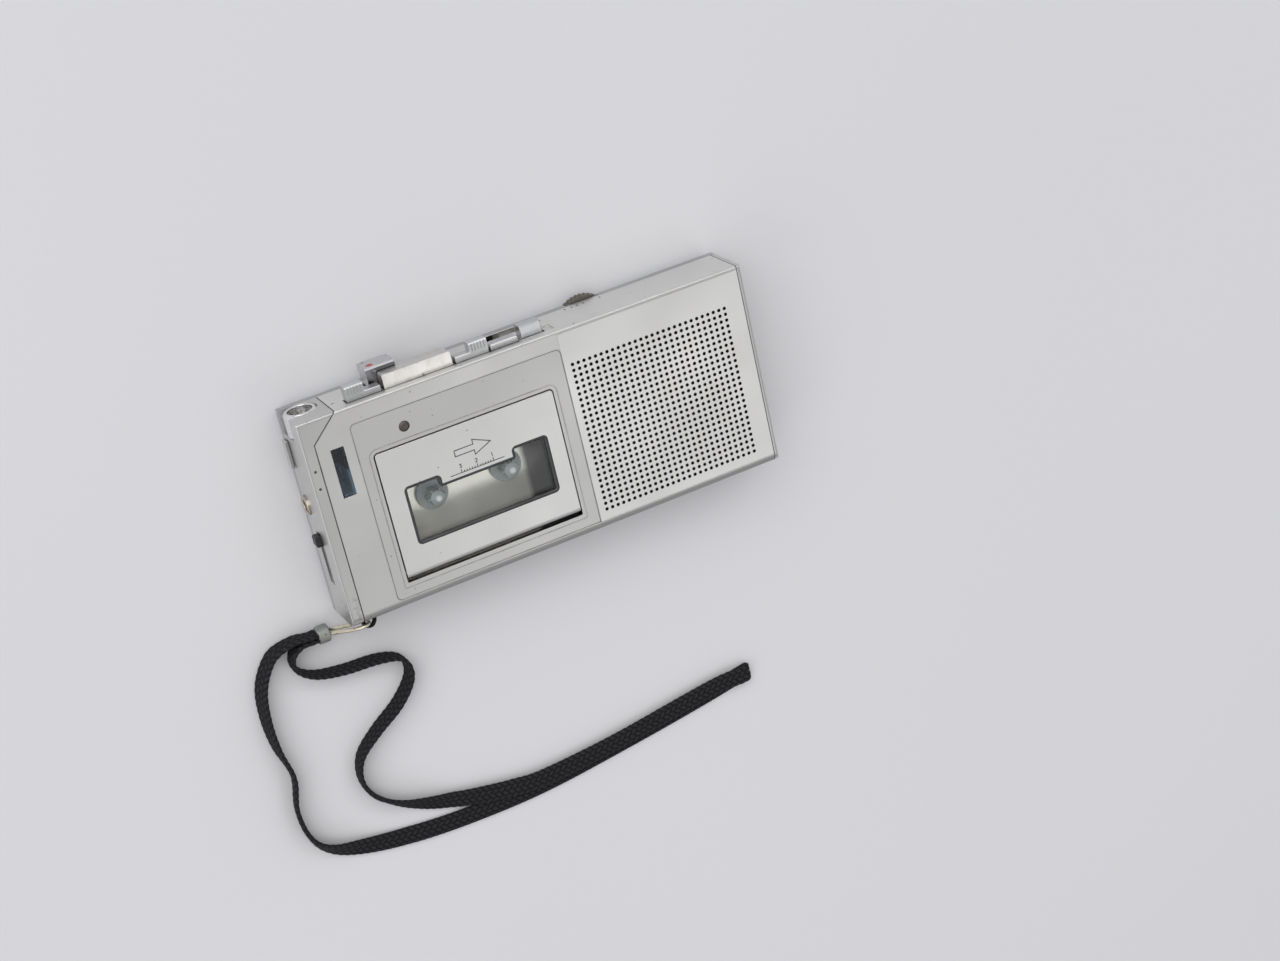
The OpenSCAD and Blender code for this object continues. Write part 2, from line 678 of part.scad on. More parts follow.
module battery_lid() {
    color("darkgray")
    difference() {
        intersection() {
            case_form();
            union() {
                block([lid_x0 + lid_gap, xr], lid_y, [0, wall - 0.1]);
                block([lid_x0 + lid_gap, bay_x[1]], [lid_y[0] - lid_tongue, lid_y[1] + lid_tongue],
                      [0.75, wall - 0.1]);
                block([xr - wall, xr], lid_y, [0, rear_h - seam / 2]);
            }
        }
        for (k = [0:5])
            block([lid_x0 + 6 + 1.6 * k, lid_x0 + 6.8 + 1.6 * k], [lid_y[0] + 9, lid_y[1] - 9], [-1, 0.4]);
    }
}

module mic_end_cap() {
    color("silver")
    difference() {
        intersection() {
            case_form();
            along_z(rear_h + seam / 2, zf + 1) cap_outline();
        }
        intersection() {
            along_x(end_wall_x, cap_x + cap_corner_l + 2) case_section(wall);
            block([xl, xr], [yt, yk], [0, zf]);
        }
        translate([mic_x, mic_y0 - fit, mic_z]) rotate([-90, 0, 0])
            cylinder(r = mic_r + fit, h = mic_l + 2);
        block([xl - 1, mic_x], [mic_y0 - fit, yk + 1], [0, mic_z + mic_r + fit]);
        translate([xl - 1, jack_y, jack_z]) rotate([0, 90, 0]) cylinder(r = jack_r + fit, h = wall + 2);
        block([xl - 1, end_wall_x + 1], [sens_neck - sens_travel - 1 - key_gap, sens_neck + 1 + key_gap],
              [sens_z - 0.7 - key_gap, sens_z + 0.7 + key_gap]);
        block([xl - 1, end_wall_x + 1], [speed_y - speed_travel - 1 - key_gap, speed_y + 1 + key_gap],
              [speed_z - 0.7 - key_gap, speed_z + 0.7 + key_gap]);
        block([xl - 1, xl + 0.7],
              [speed_y - speed_travel - speed_size / 2 - 0.8, speed_y + speed_size / 2 + 0.6],
              [speed_z - speed_size / 2 - 0.4, speed_z + speed_size / 2 + 0.4]);
    }
}

module speaker_end_plate() {
    color("silver")
    intersection() {
        case_form();
        block([end_x, xr + 1], [yt, yk], [rear_h + seam / 2, zf]);
    }
}

module mic_barrel() {
    color("gainsboro")
    translate([mic_x, mic_y0, mic_z]) rotate([-90, 0, 0])
    rotate_extrude()
    polygon([
        [0, 0], [mic_r, 0], [mic_r, mic_l - 0.4], [mic_r - 0.4, mic_l], [mic_mouth_r + 0.5, mic_l],
        [mic_mouth_r, mic_l - 0.5], [mic_mouth_r, mic_l - 2.2], [0, mic_l - 2.2]
    ]);
}

module mic_mesh() {
    color("dimgray")
    translate([mic_x, yk - 2.2, mic_z]) rotate([-90, 0, 0])
    linear_extrude(0.5)
    difference() {
        circle(mic_mouth_r - fit);
        for (i = [-3:3], j = [-3:3])
            if (norm([i, j]) < 3.2)
                translate([i * 0.9, j * 0.9]) circle(d = 0.55, $fn = 16);
    }
}

// Door

module cassette_door() {
    color("lightgray")
    difference() {
        along_x(door_x[0], door_x[1])
        union() {
            rounded([hinge_y, door_y[1]], [door_z, zf], [0, 0, 0.3, 0]);
            translate([hinge_y, hinge_z]) circle(hinge_r);
        }
        for (side = [0, 1])
            translate([door_x[side], door_y[1], door_z - 1]) rotate(side == 0 ? 270 : 180)
                linear_extrude(door_t + 2) corner_waste(door_corner_r);
        along_z(zf - 3, zf + 1) window_outline();
        along_z(zf - 3, door_z + lens_t) window_outline(lens_lip);
        translate([door_x[0] - 1, hinge_y, hinge_z]) rotate([0, 90, 0])
            cylinder(r = pin_r + run, h = door_l + 2);
    }
}

module door_window() {
    color("lightblue", 0.4)
    along_z(door_z + fit, door_z + lens_t) window_outline(lens_lip - fit);
}

module door_hinge_pin() {
    color("gray")
    translate([door_x[0] - 0.5 - hinge_ear, hinge_y, hinge_z]) rotate([0, 90, 0])
        cylinder(r = pin_r, h = door_l + 1 + 2 * hinge_ear);
}

// Two side channels that guide the cassette, pressed from sheet
module cassette_holder() {
    sheet = 0.4;
    inset = 0.6;
    rail_y = [hinge_y + 4, door_y[1] - 3.2];
    low = chassis_top + 0.8;
    color("lightslategray")
    along_y(rail_y[0], rail_y[1])
    union() {
        for (side = [0, 1]) {
            x = door_x[side] + (side == 0 ? inset : -inset - sheet);
            lip = side == 0 ? x : x - 1.6;
            translate([x, low]) square([sheet, door_z - low]);
            translate([lip, low]) square([1.6 + sheet, sheet]);
        }
    }
    color("lightslategray")
    block([door_x[0] + inset + eps, door_x[1] - inset - eps], [rail_y[0], rail_y[0] + 1],
          [door_z - sheet, door_z]);
}

// Meter and lamp

module meter_window() {
    color("black", 0.8)
    block([meter_x[0] + fit, meter_x[1] - fit], [meter_y[0] + fit, meter_y[1] - fit], [zf - 1.1, zf - 0.3]);
}

module level_meter() {
    color("darkslategray")
    difference() {
        block([meter_x[0] - 1.2, meter_x[1] + 1.2], [meter_y[0] - 1, meter_y[1] + 1],
              [meter_z0, zf - wall]);
        block([meter_x[0] + 0.4, meter_x[1] - 0.4], [meter_y[0] + 0.2, meter_y[1] - 0.2],
              [meter_z0 + 0.6, zf]);
    }
}

module meter_pointer() {
    mid = (meter_y[0] + meter_y[1]) / 2;
    reach = zf - wall - 0.4 - meter_pivot_z;
    color("orangered")
    translate([(meter_x[0] + meter_x[1]) / 2, mid, meter_pivot_z])
    rotate([40, 0, 0])
    union() {
        rotate([0, 90, 0]) translate([0, 0, -1.3]) cylinder(r = 0.6, h = 2.6);
        along_y(-0.2, 0.2)
            polygon([[-0.5, 0], [0.5, 0], [0.3, reach], [-0.3, reach]]);
    }
}

module record_lamp() {
    color("darkred")
    translate([lamp[0], lamp[1], zf - 4])
    rotate_extrude()
    polygon([
        [0, 0], [lamp_r + 0.6, 0], [lamp_r + 0.6, 1.9], [lamp_r, 1.9],
        [lamp_r, 3.7], [lamp_r - 0.5, 4], [0, 4.1]
    ]);
}

// Keys

// Key standing through the key side: profile in X and Y, drawn out along Z
module key_blank(z, outline) {
    along_z(z[0], z[1]) polygon(outline);
}

module play_key() {
    top = yk + key_h - 0.1;
    bevel = 0.4;
    color("whitesmoke")
    union() {
        key_blank(play_z, [
            [play_x, key_in], [play_x + play_l, key_in], [play_x + play_l, top - bevel],
            [play_x + play_l - bevel, top], [play_x + bevel, top], [play_x, top - bevel]
        ]);
        key_blank([play_z[0] - play_back_d, play_z[0] + eps], [
            [play_back_x, key_in], [play_x + play_l, key_in], [play_x + play_l, top - 1.2],
            [play_x + play_l - bevel, top - 0.8], [play_back_x + bevel, top - 0.8], [play_back_x, top - 1.2]
        ]);
        block([play_back_x + 1.5, play_back_x + 1.5 + play_stem_l], [stem_y, key_in + eps],
              [play_z[0] - play_back_d, play_z[0] - play_back_d + play_stem_h]);
    }
}

module rec_key() {
    top = yk + rec_h;
    bevel = 0.5;
    overhang = 0.9;
    color("gainsboro")
    difference() {
        along_x(rec_x, rec_x + rec_l)
        polygon([
            [yk - wall - 0.1, rec_z[0] + overhang], [top - 2.4, rec_z[0] + overhang],
            [top - 2, rec_z[0]], [top - bevel, rec_z[0]], [top, rec_z[0] + bevel],
            [top, rec_z[1] - bevel], [top - bevel, rec_z[1]], [yk - wall - 0.1, rec_z[1]]
        ]);
        translate([rec_x + 2.1, top - 0.3, rec_z[1] - 2.2]) rotate([-90, 0, 0]) cylinder(r = 1, h = 1);
    }
}

// Tall thumb pad with a low plate beside it; the pad is at the far end from the play key
module pad_key(x, pad_first) {
    l = pad_l + pad_low_l;
    step = pad_first ? pad_l : pad_low_l;
    tall = yk + key_h;
    low = yk + key_low_h;
    y0 = pad_first ? tall : low;
    y1 = pad_first ? low : tall;
    pad = pad_first ? x : x + pad_low_l;
    difference() {
        key_blank(key_z, [
            [x, key_in], [x + l, key_in], [x + l, y1], [x + step, y1], [x + step, y0], [x, y0]
        ]);
        for (k = [0:4])
            block([pad + 0.6 + 0.9 * k, pad + 0.95 + 0.9 * k], [low, tall + 1],
                  [key_z[1] - 0.2, key_z[1] + 1]);
    }
}

module rewind_key() {
    color("silver") pad_key(rewind_x, true);
}

module forward_key() {
    color("silver") pad_key(forward_x, false);
}

module stop_key() {
    top = yk + key_low_h;
    color("silver")
    key_blank(key_z, [
        [stop_x, key_in], [stop_x + stop_l, key_in], [stop_x + stop_l, top - 0.3],
        [stop_x + stop_l - 0.3, top], [stop_x + 0.3, top], [stop_x, top - 0.3]
    ]);
}

// Knob outside, neck through its slot, and the tab that shows in the latch window
module eject_slide() {
    color("gainsboro")
    union() {
        along_x(eject_x, eject_x + eject_l)
            rounded([yk - 0.3, yk + eject_h], eject_z, [0, 0.4, 0.4, 0]);
        block([eject_x + 2, eject_x + 4], [yk - wall - 1.6, yk], eject_slot_z);
        block([eject_x + 0.4, eject_x + 2.4], [yk - wall - 1.6, yk - wall - 0.4],
              [latch_win_z[0] + 0.4, eject_slot_z[1]]);
        block([eject_x + 2.3, eject_x + 4], [yk - wall - 1.6, yk - wall - 0.4], eject_slot_z);
        block([(latch_win_x[0] + eject_x) / 2, eject_x + 2.4], [yk - wall - 1.6, yk - wall - 0.4],
              [latch_win_z[0] + 0.4, latch_win_z[1] - 0.4]);
    }
}

module volume_wheel() {
    color("dimgray")
    translate([wheel_x, wheel_y, wheel_z])
    linear_extrude(wheel_t)
    difference() {
        circle(wheel_r);
        circle(wheel_shaft_r + run);
        for (k = [0:wheel_notches - 1])
            rotate(360 * k / wheel_notches) translate([wheel_r + 0.1, 0]) circle(0.35, $fn = 16);
    }
}

// Knob on a neck that runs in a slot of the end wall
module end_knob(y, z, size_y, size_z, proud, base_x, neck) {
    along_z(z - size_z / 2, z + size_z / 2)
        polygon([
            [base_x, y - size_y / 2], [base_x, y + size_y / 2], [xl - proud + 0.3, y + size_y / 2],
            [xl - proud, y + size_y / 2 - 0.4], [xl - proud, y - size_y / 2 + 0.4],
            [xl - proud + 0.3, y - size_y / 2]
        ]);
    block([base_x - eps, end_wall_x + 1.2], [neck - 1, neck + 1], [z - 0.7, z + 0.7]);
}

module mic_sens_switch() {
    color("silver") end_knob(sens_y, sens_z, sens_w, sens_h, 1, xl - 0.2, sens_neck);
}

module speed_switch() {
    color("black") end_knob(speed_y, speed_z, speed_size, speed_size, knob_proud, xl + 0.5, speed_y);
}

module jack_bushing() {
    color("goldenrod")
    translate([xl - jack_proud, jack_y, jack_z]) rotate([0, 90, 0])
    rotate_extrude()
    polygon([
        [jack_bore_r, 0.3], [jack_bore_r + 0.3, 0], [jack_r - 0.3, 0], [jack_r, 0.3],
        [jack_r, jack_proud + wall + 0.4], [jack_bore_r + 0.4, jack_proud + wall + 0.4],
        [jack_bore_r + 0.4, jack_l], [jack_bore_r, jack_l]
    ]);
}

module jack_housing() {
    color("black")
    difference() {
        block([end_wall_x + 0.4, xl - jack_proud + jack_l + 1], [jack_y - 3.6, jack_y + 3.6],
              [jack_z - 2.8, jack_z + 3.2]);
        translate([end_wall_x, jack_y, jack_z]) rotate([0, 90, 0])
            cylinder(r = jack_bore_r + 0.4, h = jack_l - jack_proud - wall);
    }
}

// Mechanism

module chassis_plate() {
    color("lightsteelblue")
    union() {
        along_z(chassis_z, chassis_top)
        difference() {
            rounded(chassis_x, chassis_y, [1, 1, 1, 1]);
            for (p = [supply, takeup]) translate(p) circle(0.8 + run);
            translate(capstan) circle(capstan_r + run);
            translate(motor) circle(1.4);
            for (p = pillars) translate(p) circle(screw_r + 0.1);
        }
        translate([idler[0], idler[1], disc_z - 0.2]) cylinder(r = 0.6, h = chassis_z - disc_z + 0.2 + eps);
    }
}

// Spindle seen in the well: flange, hub with fins and a pointed tip, and its drive disc below
module spindle(disc_r) {
    hub_z = chassis_top + 1.1;
    tip_z = chassis_top + 5.5;
    rotate_extrude()
    polygon([
        [0, disc_z], [disc_r, disc_z], [disc_r, disc_z + 1.4], [0.8, disc_z + 1.4], [0.8, chassis_top + 0.3],
        [flange_r, chassis_top + 0.3], [flange_r, hub_z], [hub_r, hub_z], [hub_r, tip_z],
        [0.5, tip_z + 1.2], [0, tip_z + 1.2]
    ]);
    for (k = [0:5])
        rotate(60 * k) block([hub_r - 0.2, hub_r + 0.5], [-0.25, 0.25], [hub_z - eps, tip_z - 0.4]);
}

module supply_spindle() {
    color("darkgray") translate([supply[0], supply[1], 0]) spindle(drive_disc_r - 0.8);
}

module takeup_spindle() {
    color("darkgray") translate([takeup[0], takeup[1], 0]) spindle(drive_disc_r);
}

module flywheel() {
    groove = belt_t + 0.1;
    color("darkkhaki")
    translate([capstan[0], capstan[1], flywheel_z])
    rotate_extrude()
    polygon([
        [capstan_r, 0], [flywheel_r, 0], [flywheel_r, 0.6], [flywheel_r - groove, 0.8],
        [flywheel_r - groove, flywheel_t - 0.8], [flywheel_r, flywheel_t - 0.6], [flywheel_r, flywheel_t],
        [pinion_r, flywheel_t], [pinion_r, flywheel_t + 1.9], [capstan_r, flywheel_t + 1.9]
    ]);
}

module capstan_shaft() {
    color("gainsboro")
    translate([capstan[0], capstan[1], flywheel_z - 0.3])
        cylinder(r = capstan_r, h = head_z + 0.4 - flywheel_z);
}

// Strip under the flywheel that takes the end of the capstan, with a leg at each end
module thrust_bracket() {
    low = flywheel_z - 0.8;
    span = [capstan[0] - flywheel_r - 3.4, capstan[0] + flywheel_r + 3.4];
    color("gray")
    along_y(capstan[1] - 2.5, capstan[1] + 2.5)
    union() {
        translate([span[0], low]) square([span[1] - span[0], 0.4]);
        for (x = [span[0], span[1] - 0.6]) translate([x, low]) square([0.6, chassis_z - low]);
    }
}

module drive_motor() {
    color("silver")
    translate([motor[0], motor[1], chassis_top])
    rotate_extrude()
    polygon([
        [0, 0.4], [1.2, 0.4], [1.2, 0], [motor_r, 0], [motor_r, motor_h - 0.5], [motor_r - 0.5, motor_h],
        [1.6, motor_h], [1.6, motor_h + 0.3], [0, motor_h + 0.3]
    ]);
}

module motor_pulley() {
    half = 0.5 + belt_t / 2;
    color("goldenrod")
    translate([motor[0], motor[1], belt_z])
    rotate_extrude()
    polygon([
        [0, -half - 0.5], [pulley_r + 0.4, -half - 0.5], [pulley_r + 0.4, -half],
        [pulley_r - 0.3, -half + 0.3], [pulley_r - 0.3, half - 0.3],
        [pulley_r + 0.4, half], [pulley_r + 0.4, half + 0.5],
        [0.5, half + 0.5], [0.5, chassis_top + 0.2 - belt_z], [0, chassis_top + 0.2 - belt_z]
    ]);
}

// Outline of the belt round both pulleys, drawn in by the inset
module belt_outline(inset) {
    big = flywheel_r - belt_t - 0.1 + belt_gap + belt_t - inset;
    small = pulley_r - 0.3 + belt_gap + belt_t - inset;
    d = norm(motor - capstan);
    turn = atan2(motor[1] - capstan[1], motor[0] - capstan[0]);
    tilt = acos((big - small) / d);
    dip = 0.02;
    side = [cos(tilt), sin(tilt)];
    other = [cos(tilt), -sin(tilt)];
    translate(capstan) rotate(turn)
    union() {
        circle(big);
        translate([d, 0]) circle(small);
        polygon([
            (big - dip) * side, [d, 0] + (small - dip) * side,
            [d, 0] + (small - dip) * other, (big - dip) * other
        ]);
    }
}

module drive_belt() {
    color("black")
    along_z(belt_z - belt_t / 2, belt_z + belt_t / 2)
    difference() {
        belt_outline(0);
        belt_outline(belt_t);
    }
}

module idler_wheel() {
    color("saddlebrown")
    translate([idler[0], idler[1], disc_z])
    difference() {
        cylinder(r = idler_r, h = 1.4);
        translate([0, 0, -1]) cylinder(r = 0.6 + run, h = 4);
    }
}

// Sliding plate that carries the heads towards the tape
module head_bridge() {
    color("lightsteelblue")
    union() {
        along_z(bridge_z, bridge_z + bridge_t)
            rounded(bridge_x, bridge_y, [1, 1, 1, 1]);
        translate([roller[0], roller[1], bridge_z]) cylinder(r = roller_r, h = bridge_t);
        translate([roller[0], roller[1], bridge_z]) cylinder(r = 0.8, h = head_z + 0.6 - bridge_z);
    }
}

module record_play_head() {
    front = capstan[1] + 3.6;
    x = door_mid[0];
    color("dimgray")
    difference() {
        union() {
            block([x - 3.2, x + 3.2], [front + 1.6, front + 7], [bridge_z + bridge_t, head_z]);
            intersection() {
                translate([x, front + 6, bridge_z + bridge_t])
                    cylinder(r = 6, h = head_z - bridge_z - bridge_t);
                block([x - 3.2, x + 3.2], [front - 1, front + 2], [bridge_z, head_z]);
            }
        }
        block([x - 0.15, x + 0.15], [front - 1, front + 0.4], [bridge_z + 2, head_z - 1]);
    }
}

module erase_head() {
    front = capstan[1] + 4.2;
    x = door_mid[0] - 9;
    color("darkslategray")
    along_z(bridge_z + bridge_t, head_z - 0.6)
        rounded([x - 1.8, x + 1.8], [front, front + 4.6], [0.8, 0.8, 0, 0]);
}

module pinch_roller() {
    color("black")
    translate([roller[0], roller[1], bridge_z + bridge_t + 0.3])
    rotate_extrude()
    polygon([
        [0.8 + run, 0], [roller_r - 0.3, 0], [roller_r, 0.3],
        [roller_r, 4.7], [roller_r - 0.3, 5], [0.8 + run, 5]
    ]);
}

// Boards

module main_board() {
    color("darkolivegreen")
    along_z(board_z, board_z + board_t)
    difference() {
        rounded([chassis_x[0] + 0.4, chassis_x[1] - 0.2], [yt + 3.2, yk - 3.2], [1, 1, 1, 1]);
        for (p = pillars) translate(p) circle(pillar_r + fit);
    }
}

// Small board with the volume control; its shaft carries the wheel
module volume_board() {
    color("peru")
    union() {
        block(volume_board_x, volume_board_y, [volume_board_z, volume_board_z + board_t]);
        translate([wheel_x, wheel_y, volume_board_z + board_t - eps]) cylinder(r = wheel_r - 3.5, h = 2.4);
        translate([wheel_x, wheel_y, wheel_z + 0.1])
            cylinder(r = wheel_shaft_r, h = volume_board_z - wheel_z);
    }
}

// Sound and power

module speaker_frame() {
    z0 = cloth_z - speaker_d;
    color("dimgray")
    translate([speaker[0], speaker[1], z0])
    rotate_extrude()
    polygon([
        [0, 0], [8, 0], [8, 1], [speaker_r - 3, 1.6], [speaker_r - 2, speaker_d - 0.8],
        [speaker_r, speaker_d - 0.8], [speaker_r, speaker_d], [speaker_r - 2.4, speaker_d],
        [speaker_r - 3.4, 2], [8, 1.4], [0, 1.4]
    ]);
}

module speaker_cone() {
    z0 = cloth_z - speaker_d;
    color("saddlebrown")
    translate([speaker[0], speaker[1], z0])
    rotate_extrude()
    polygon([
        [0, 1.4], [5, 1.4], [7, 2], [speaker_r - 4, speaker_d - 0.6], [speaker_r - 2.8, speaker_d - 0.3],
        [speaker_r - 2.8, speaker_d - 0.1], [speaker_r - 4.4, speaker_d - 0.3],
        [6.6, 2.2], [4.4, 2.5], [0, 2.7]
    ]);
}

module dust_cloth() {
    color("black")
    block([hole_x0 - sound_margin + fit, hole_x1 + sound_margin - fit],
          [hole_y0 - sound_margin + fit, hole_y1 + sound_margin - fit], [cloth_z, zf - grille_t]);
}

// Cell with its nub, lying along X
module cell(y, nub_right) {
    translate([nub_right ? cell_x0 : cell_x0 + cell_l, y, cell_z])
    rotate([0, nub_right ? 90 : -90, 0])
    rotate_extrude()
    polygon([
        [0, 0], [cell_r - 0.4, 0], [cell_r, 0.4], [cell_r, cell_l - 1.8], [cell_r - 0.6, cell_l - 1.2],
        [2.6, cell_l - 1.2], [2.6, cell_l - 0.2], [2.4, cell_l], [0, cell_l]
    ]);
}

module battery_cell_1() {
    color("royalblue") cell(cell_y[0], true);
}

module battery_cell_2() {
    color("royalblue") cell(cell_y[1], false);
}

// Spring plates at both ends of the bay
module battery_contacts() {
    color("lightgray")
    for (y = cell_y) {
        block([bay_x[0], bay_x[0] + contact_t], [y - 5, y + 5], [cell_z - 5, cell_z + 5]);
        translate([bay_x[0] + contact_t - eps, y, cell_z]) rotate([0, 90, 0])
            cylinder(r1 = 4, r2 = 2, h = cell_x0 - bay_x[0] - contact_t - 0.1);
        block([bay_x[1] - contact_t, bay_x[1]], [y - 5, y + 5], [cell_z - 5, bay_top]);
        translate([bay_x[1] - contact_t + eps, y, cell_z]) rotate([0, -90, 0])
            cylinder(r1 = 4, r2 = 2, h = bay_x[1] - contact_t - cell_x0 - cell_l - 0.1);
    }
}

module case_screws() {
    color("gray")
    for (p = posts)
        translate([p[0], p[1], 0.2])
        difference() {
            union() {
                cylinder(r = 1.9, h = 1);
                translate([0, 0, 0.9]) cylinder(r = screw_r, h = 11);
            }
            for (a = [0, 90]) rotate(a) translate([-1.2, -0.25, -1]) cube([2.4, 0.5, 1.5]);
        }
}

module chassis_screws() {
    color("gray")
    for (p = pillars)
        translate([p[0], p[1], chassis_top])
        difference() {
            union() {
                cylinder(r = 1.7, h = 0.8);
                translate([0, 0, -4]) cylinder(r = screw_r, h = 4.1);
            }
            for (a = [0, 90]) rotate(a) translate([-1, -0.2, 0.4]) cube([2, 0.4, 1]);
        }
}

// Strap

module strap_pin() {
    color("gray")
    translate([eye[0], eye[1], eye[2] - 2.9]) cylinder(r = 0.75, h = 5.8);
}

// Closed loop of thin cord round the pin
module strap_loop() {
    steps = 12;
    far = eye[1] - eye_reach;
    path = concat(
        [for (k = [0:steps]) let (a = 180 * k / steps)
            eye + loop_r * [cos(a), sin(a), 0]],
        [for (k = [0:steps]) let (a = 180 + 180 * k / steps)
            [eye[0], far, eye[2]] + loop_r * [cos(a), sin(a), 0]]
    );
    n = len(path);
    color("black")
    swept([for (i = [0:n - 1])
        let (t = unit(path[(i + 1) % n] - path[(i + n - 1) % n]), u = unit(cross(t, [0, 0, 1])))
        [for (k = [0:7]) path[i] + loop_cord_r * (cos(45 * k) * u - sin(45 * k) * [0, 0, 1])]],
        joined = true);
}

// Wire clip: a hairpin hooked through the cord loop
module strap_clip() {
    color("goldenrod") translate(strap_move) tube(smooth(clip_route, 3), clip_wire_r, [0, 1, 0]);
}

module strap_sleeve() {
    l = sleeve_x[1] - sleeve_x[0];
    color("gray")
    translate(strap_move + [sleeve_x[0], sleeve_yz[0], sleeve_yz[1]]) rotate([0, 90, 0])
    rotate_extrude()
    polygon([[0, 0], [sleeve_r - 0.3, 0], [sleeve_r, 0.3], [sleeve_r, l - 0.3], [sleeve_r - 0.3, l], [0, l]]);
}

// Flat strap: out along the table, folded over at the far end and back; it stands on edge in its bends
function strap_across(t, folded, lean) =
    let (flat = norm([t[0], t[1]]) < 0.6 ? [0, 1, 0] : unit(folded ? [t[1], -t[0], 0] : [-t[1], t[0], 0]))
    cos(lean) * flat + sin(lean) * [0, 0, 1];

module wrist_strap() {
    steps = 2;
    half = [strap_w / 2, strap_t / 2];
    course = smooth(strap_route, steps);
    path = [for (q = course)
        [q[0], q[1], max(q[2], half[0] * abs(sin(q[3])) + half[1] * abs(cos(q[3])))]];
    outline = [[1, -0.4], [1, 0.4], [0.85, 1], [-0.85, 1], [-1, 0.4], [-1, -0.4], [-0.85, -1], [0.85, -1]];
    color("black") translate(strap_move)
    swept([for (i = [0:len(path) - 1])
        let (t = heading(path, i), w = strap_across(t, i > steps * strap_fold, course[i][3]))
        let (u = unit(cross(t, w)))
        [for (q = outline) path[i] + half[0] * q[0] * w + half[1] * q[1] * u]]);
}

front_case();
front_panel();
speaker_grille();
rear_cover();
battery_lid();
mic_end_cap();
speaker_end_plate();
mic_barrel();
mic_mesh();
cassette_door();
door_window();
door_hinge_pin();
cassette_holder();
meter_window();
level_meter();
meter_pointer();
record_lamp();
play_key();
rec_key();
rewind_key();
forward_key();
stop_key();
eject_slide();
volume_wheel();
mic_sens_switch();
speed_switch();
jack_bushing();
jack_housing();
chassis_plate();
supply_spindle();
takeup_spindle();
flywheel();
capstan_shaft();
thrust_bracket();
drive_motor();
motor_pulley();
drive_belt();
idler_wheel();
head_bridge();
record_play_head();
erase_head();
pinch_roller();
main_board();
volume_board();
speaker_frame();
speaker_cone();
dust_cloth();
battery_cell_1();
battery_cell_2();
battery_contacts();
case_screws();
chassis_screws();
strap_pin();
strap_loop();
strap_clip();
strap_sleeve();
wrist_strap();
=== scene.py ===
"""Looks of a handheld dictation machine with a wrist strap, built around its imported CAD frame."""
import math

import bmesh
import bpy
import numpy as np
from mathutils import Matrix, Vector


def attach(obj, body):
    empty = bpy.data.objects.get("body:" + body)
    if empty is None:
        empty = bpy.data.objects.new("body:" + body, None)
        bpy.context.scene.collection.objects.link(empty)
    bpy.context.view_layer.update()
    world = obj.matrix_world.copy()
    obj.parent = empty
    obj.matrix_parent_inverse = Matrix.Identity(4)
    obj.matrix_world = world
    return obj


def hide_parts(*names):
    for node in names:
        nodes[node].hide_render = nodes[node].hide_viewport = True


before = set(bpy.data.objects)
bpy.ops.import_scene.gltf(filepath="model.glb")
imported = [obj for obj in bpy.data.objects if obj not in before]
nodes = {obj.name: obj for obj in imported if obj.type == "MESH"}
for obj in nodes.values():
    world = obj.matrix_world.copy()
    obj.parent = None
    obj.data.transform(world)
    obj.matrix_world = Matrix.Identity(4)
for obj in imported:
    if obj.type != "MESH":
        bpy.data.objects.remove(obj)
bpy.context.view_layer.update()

MM = 0.001
MICRON = 0.000001


# Places taken from the frame, in millimetres

def span(name):
    """Low and high corner of a node, to a micron because the frame holds single-precision metres."""
    node = nodes[name]
    corners = np.array([node.matrix_world @ v.co for v in node.data.vertices]) / MM
    return corners.min(axis=0).round(3), corners.max(axis=0).round(3)


CASE_LOW, CASE_HIGH = span("front_case")
PANEL_LOW, PANEL_HIGH = span("front_panel")
DOOR_LOW, DOOR_HIGH = span("cassette_door")
PANE_LOW, PANE_HIGH = span("door_window")
MESH_LOW, MESH_HIGH = span("mic_mesh")
REC_LOW, REC_HIGH = span("rec_key")
FRONT_Z = CASE_HIGH[2]
KEY_SIDE_Y = CASE_HIGH[1]


# Meshes, given in millimetres

def piece(name, points, faces, material, body, smooth=True):
    """Makes a mesh object from millimetre points and puts it on a body."""
    mesh = bpy.data.meshes.new(name)
    mesh.from_pydata([tuple(MM * float(c) for c in p) for p in points], [], faces)
    mesh.materials.append(material)
    outward = bmesh.new()
    outward.from_mesh(mesh)
    bmesh.ops.recalc_face_normals(outward, faces=outward.faces)
    outward.to_mesh(mesh)
    outward.free()
    mesh.polygons.foreach_set("use_smooth", [smooth] * len(mesh.polygons))
    mesh.update()
    made = bpy.data.objects.new(name, mesh)
    bpy.context.collection.objects.link(made)
    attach(made, body)
    return made


def ring_faces(count, around, closed):
    """Faces that join rings of points one after another, with end caps where the row is open."""
    faces = []
    for i in range(count if closed else count - 1):
        a = i * around
        b = (i + 1) % count * around
        for k in range(around):
            n = (k + 1) % around
            faces.append((a + k, a + n, b + n, b + k))
    if not closed:
        faces.append(tuple(reversed(range(around))))
        faces.append(tuple(range((count - 1) * around, count * around)))
    return faces


def spline(points, steps):
    """Smooth course through the points, the same curve as the solids follow."""
    p = np.array(points, float)
    last = len(p) - 1
    rows = []
    for i in range(last):
        a, b, c, d = p[max(i - 1, 0)], p[i], p[i + 1], p[min(i + 2, last)]
        for k in range(steps):
            t = k / steps
            rows.append(0.5 * (2 * b + (c - a) * t + (2 * a - 5 * b + 4 * c - d) * t ** 2
                               + (3 * b - a - 3 * c + d) * t ** 3))
    rows.append(p[last])
    return np.array(rows)


def unit(v):
    return v / np.linalg.norm(v, axis=-1, keepdims=True)


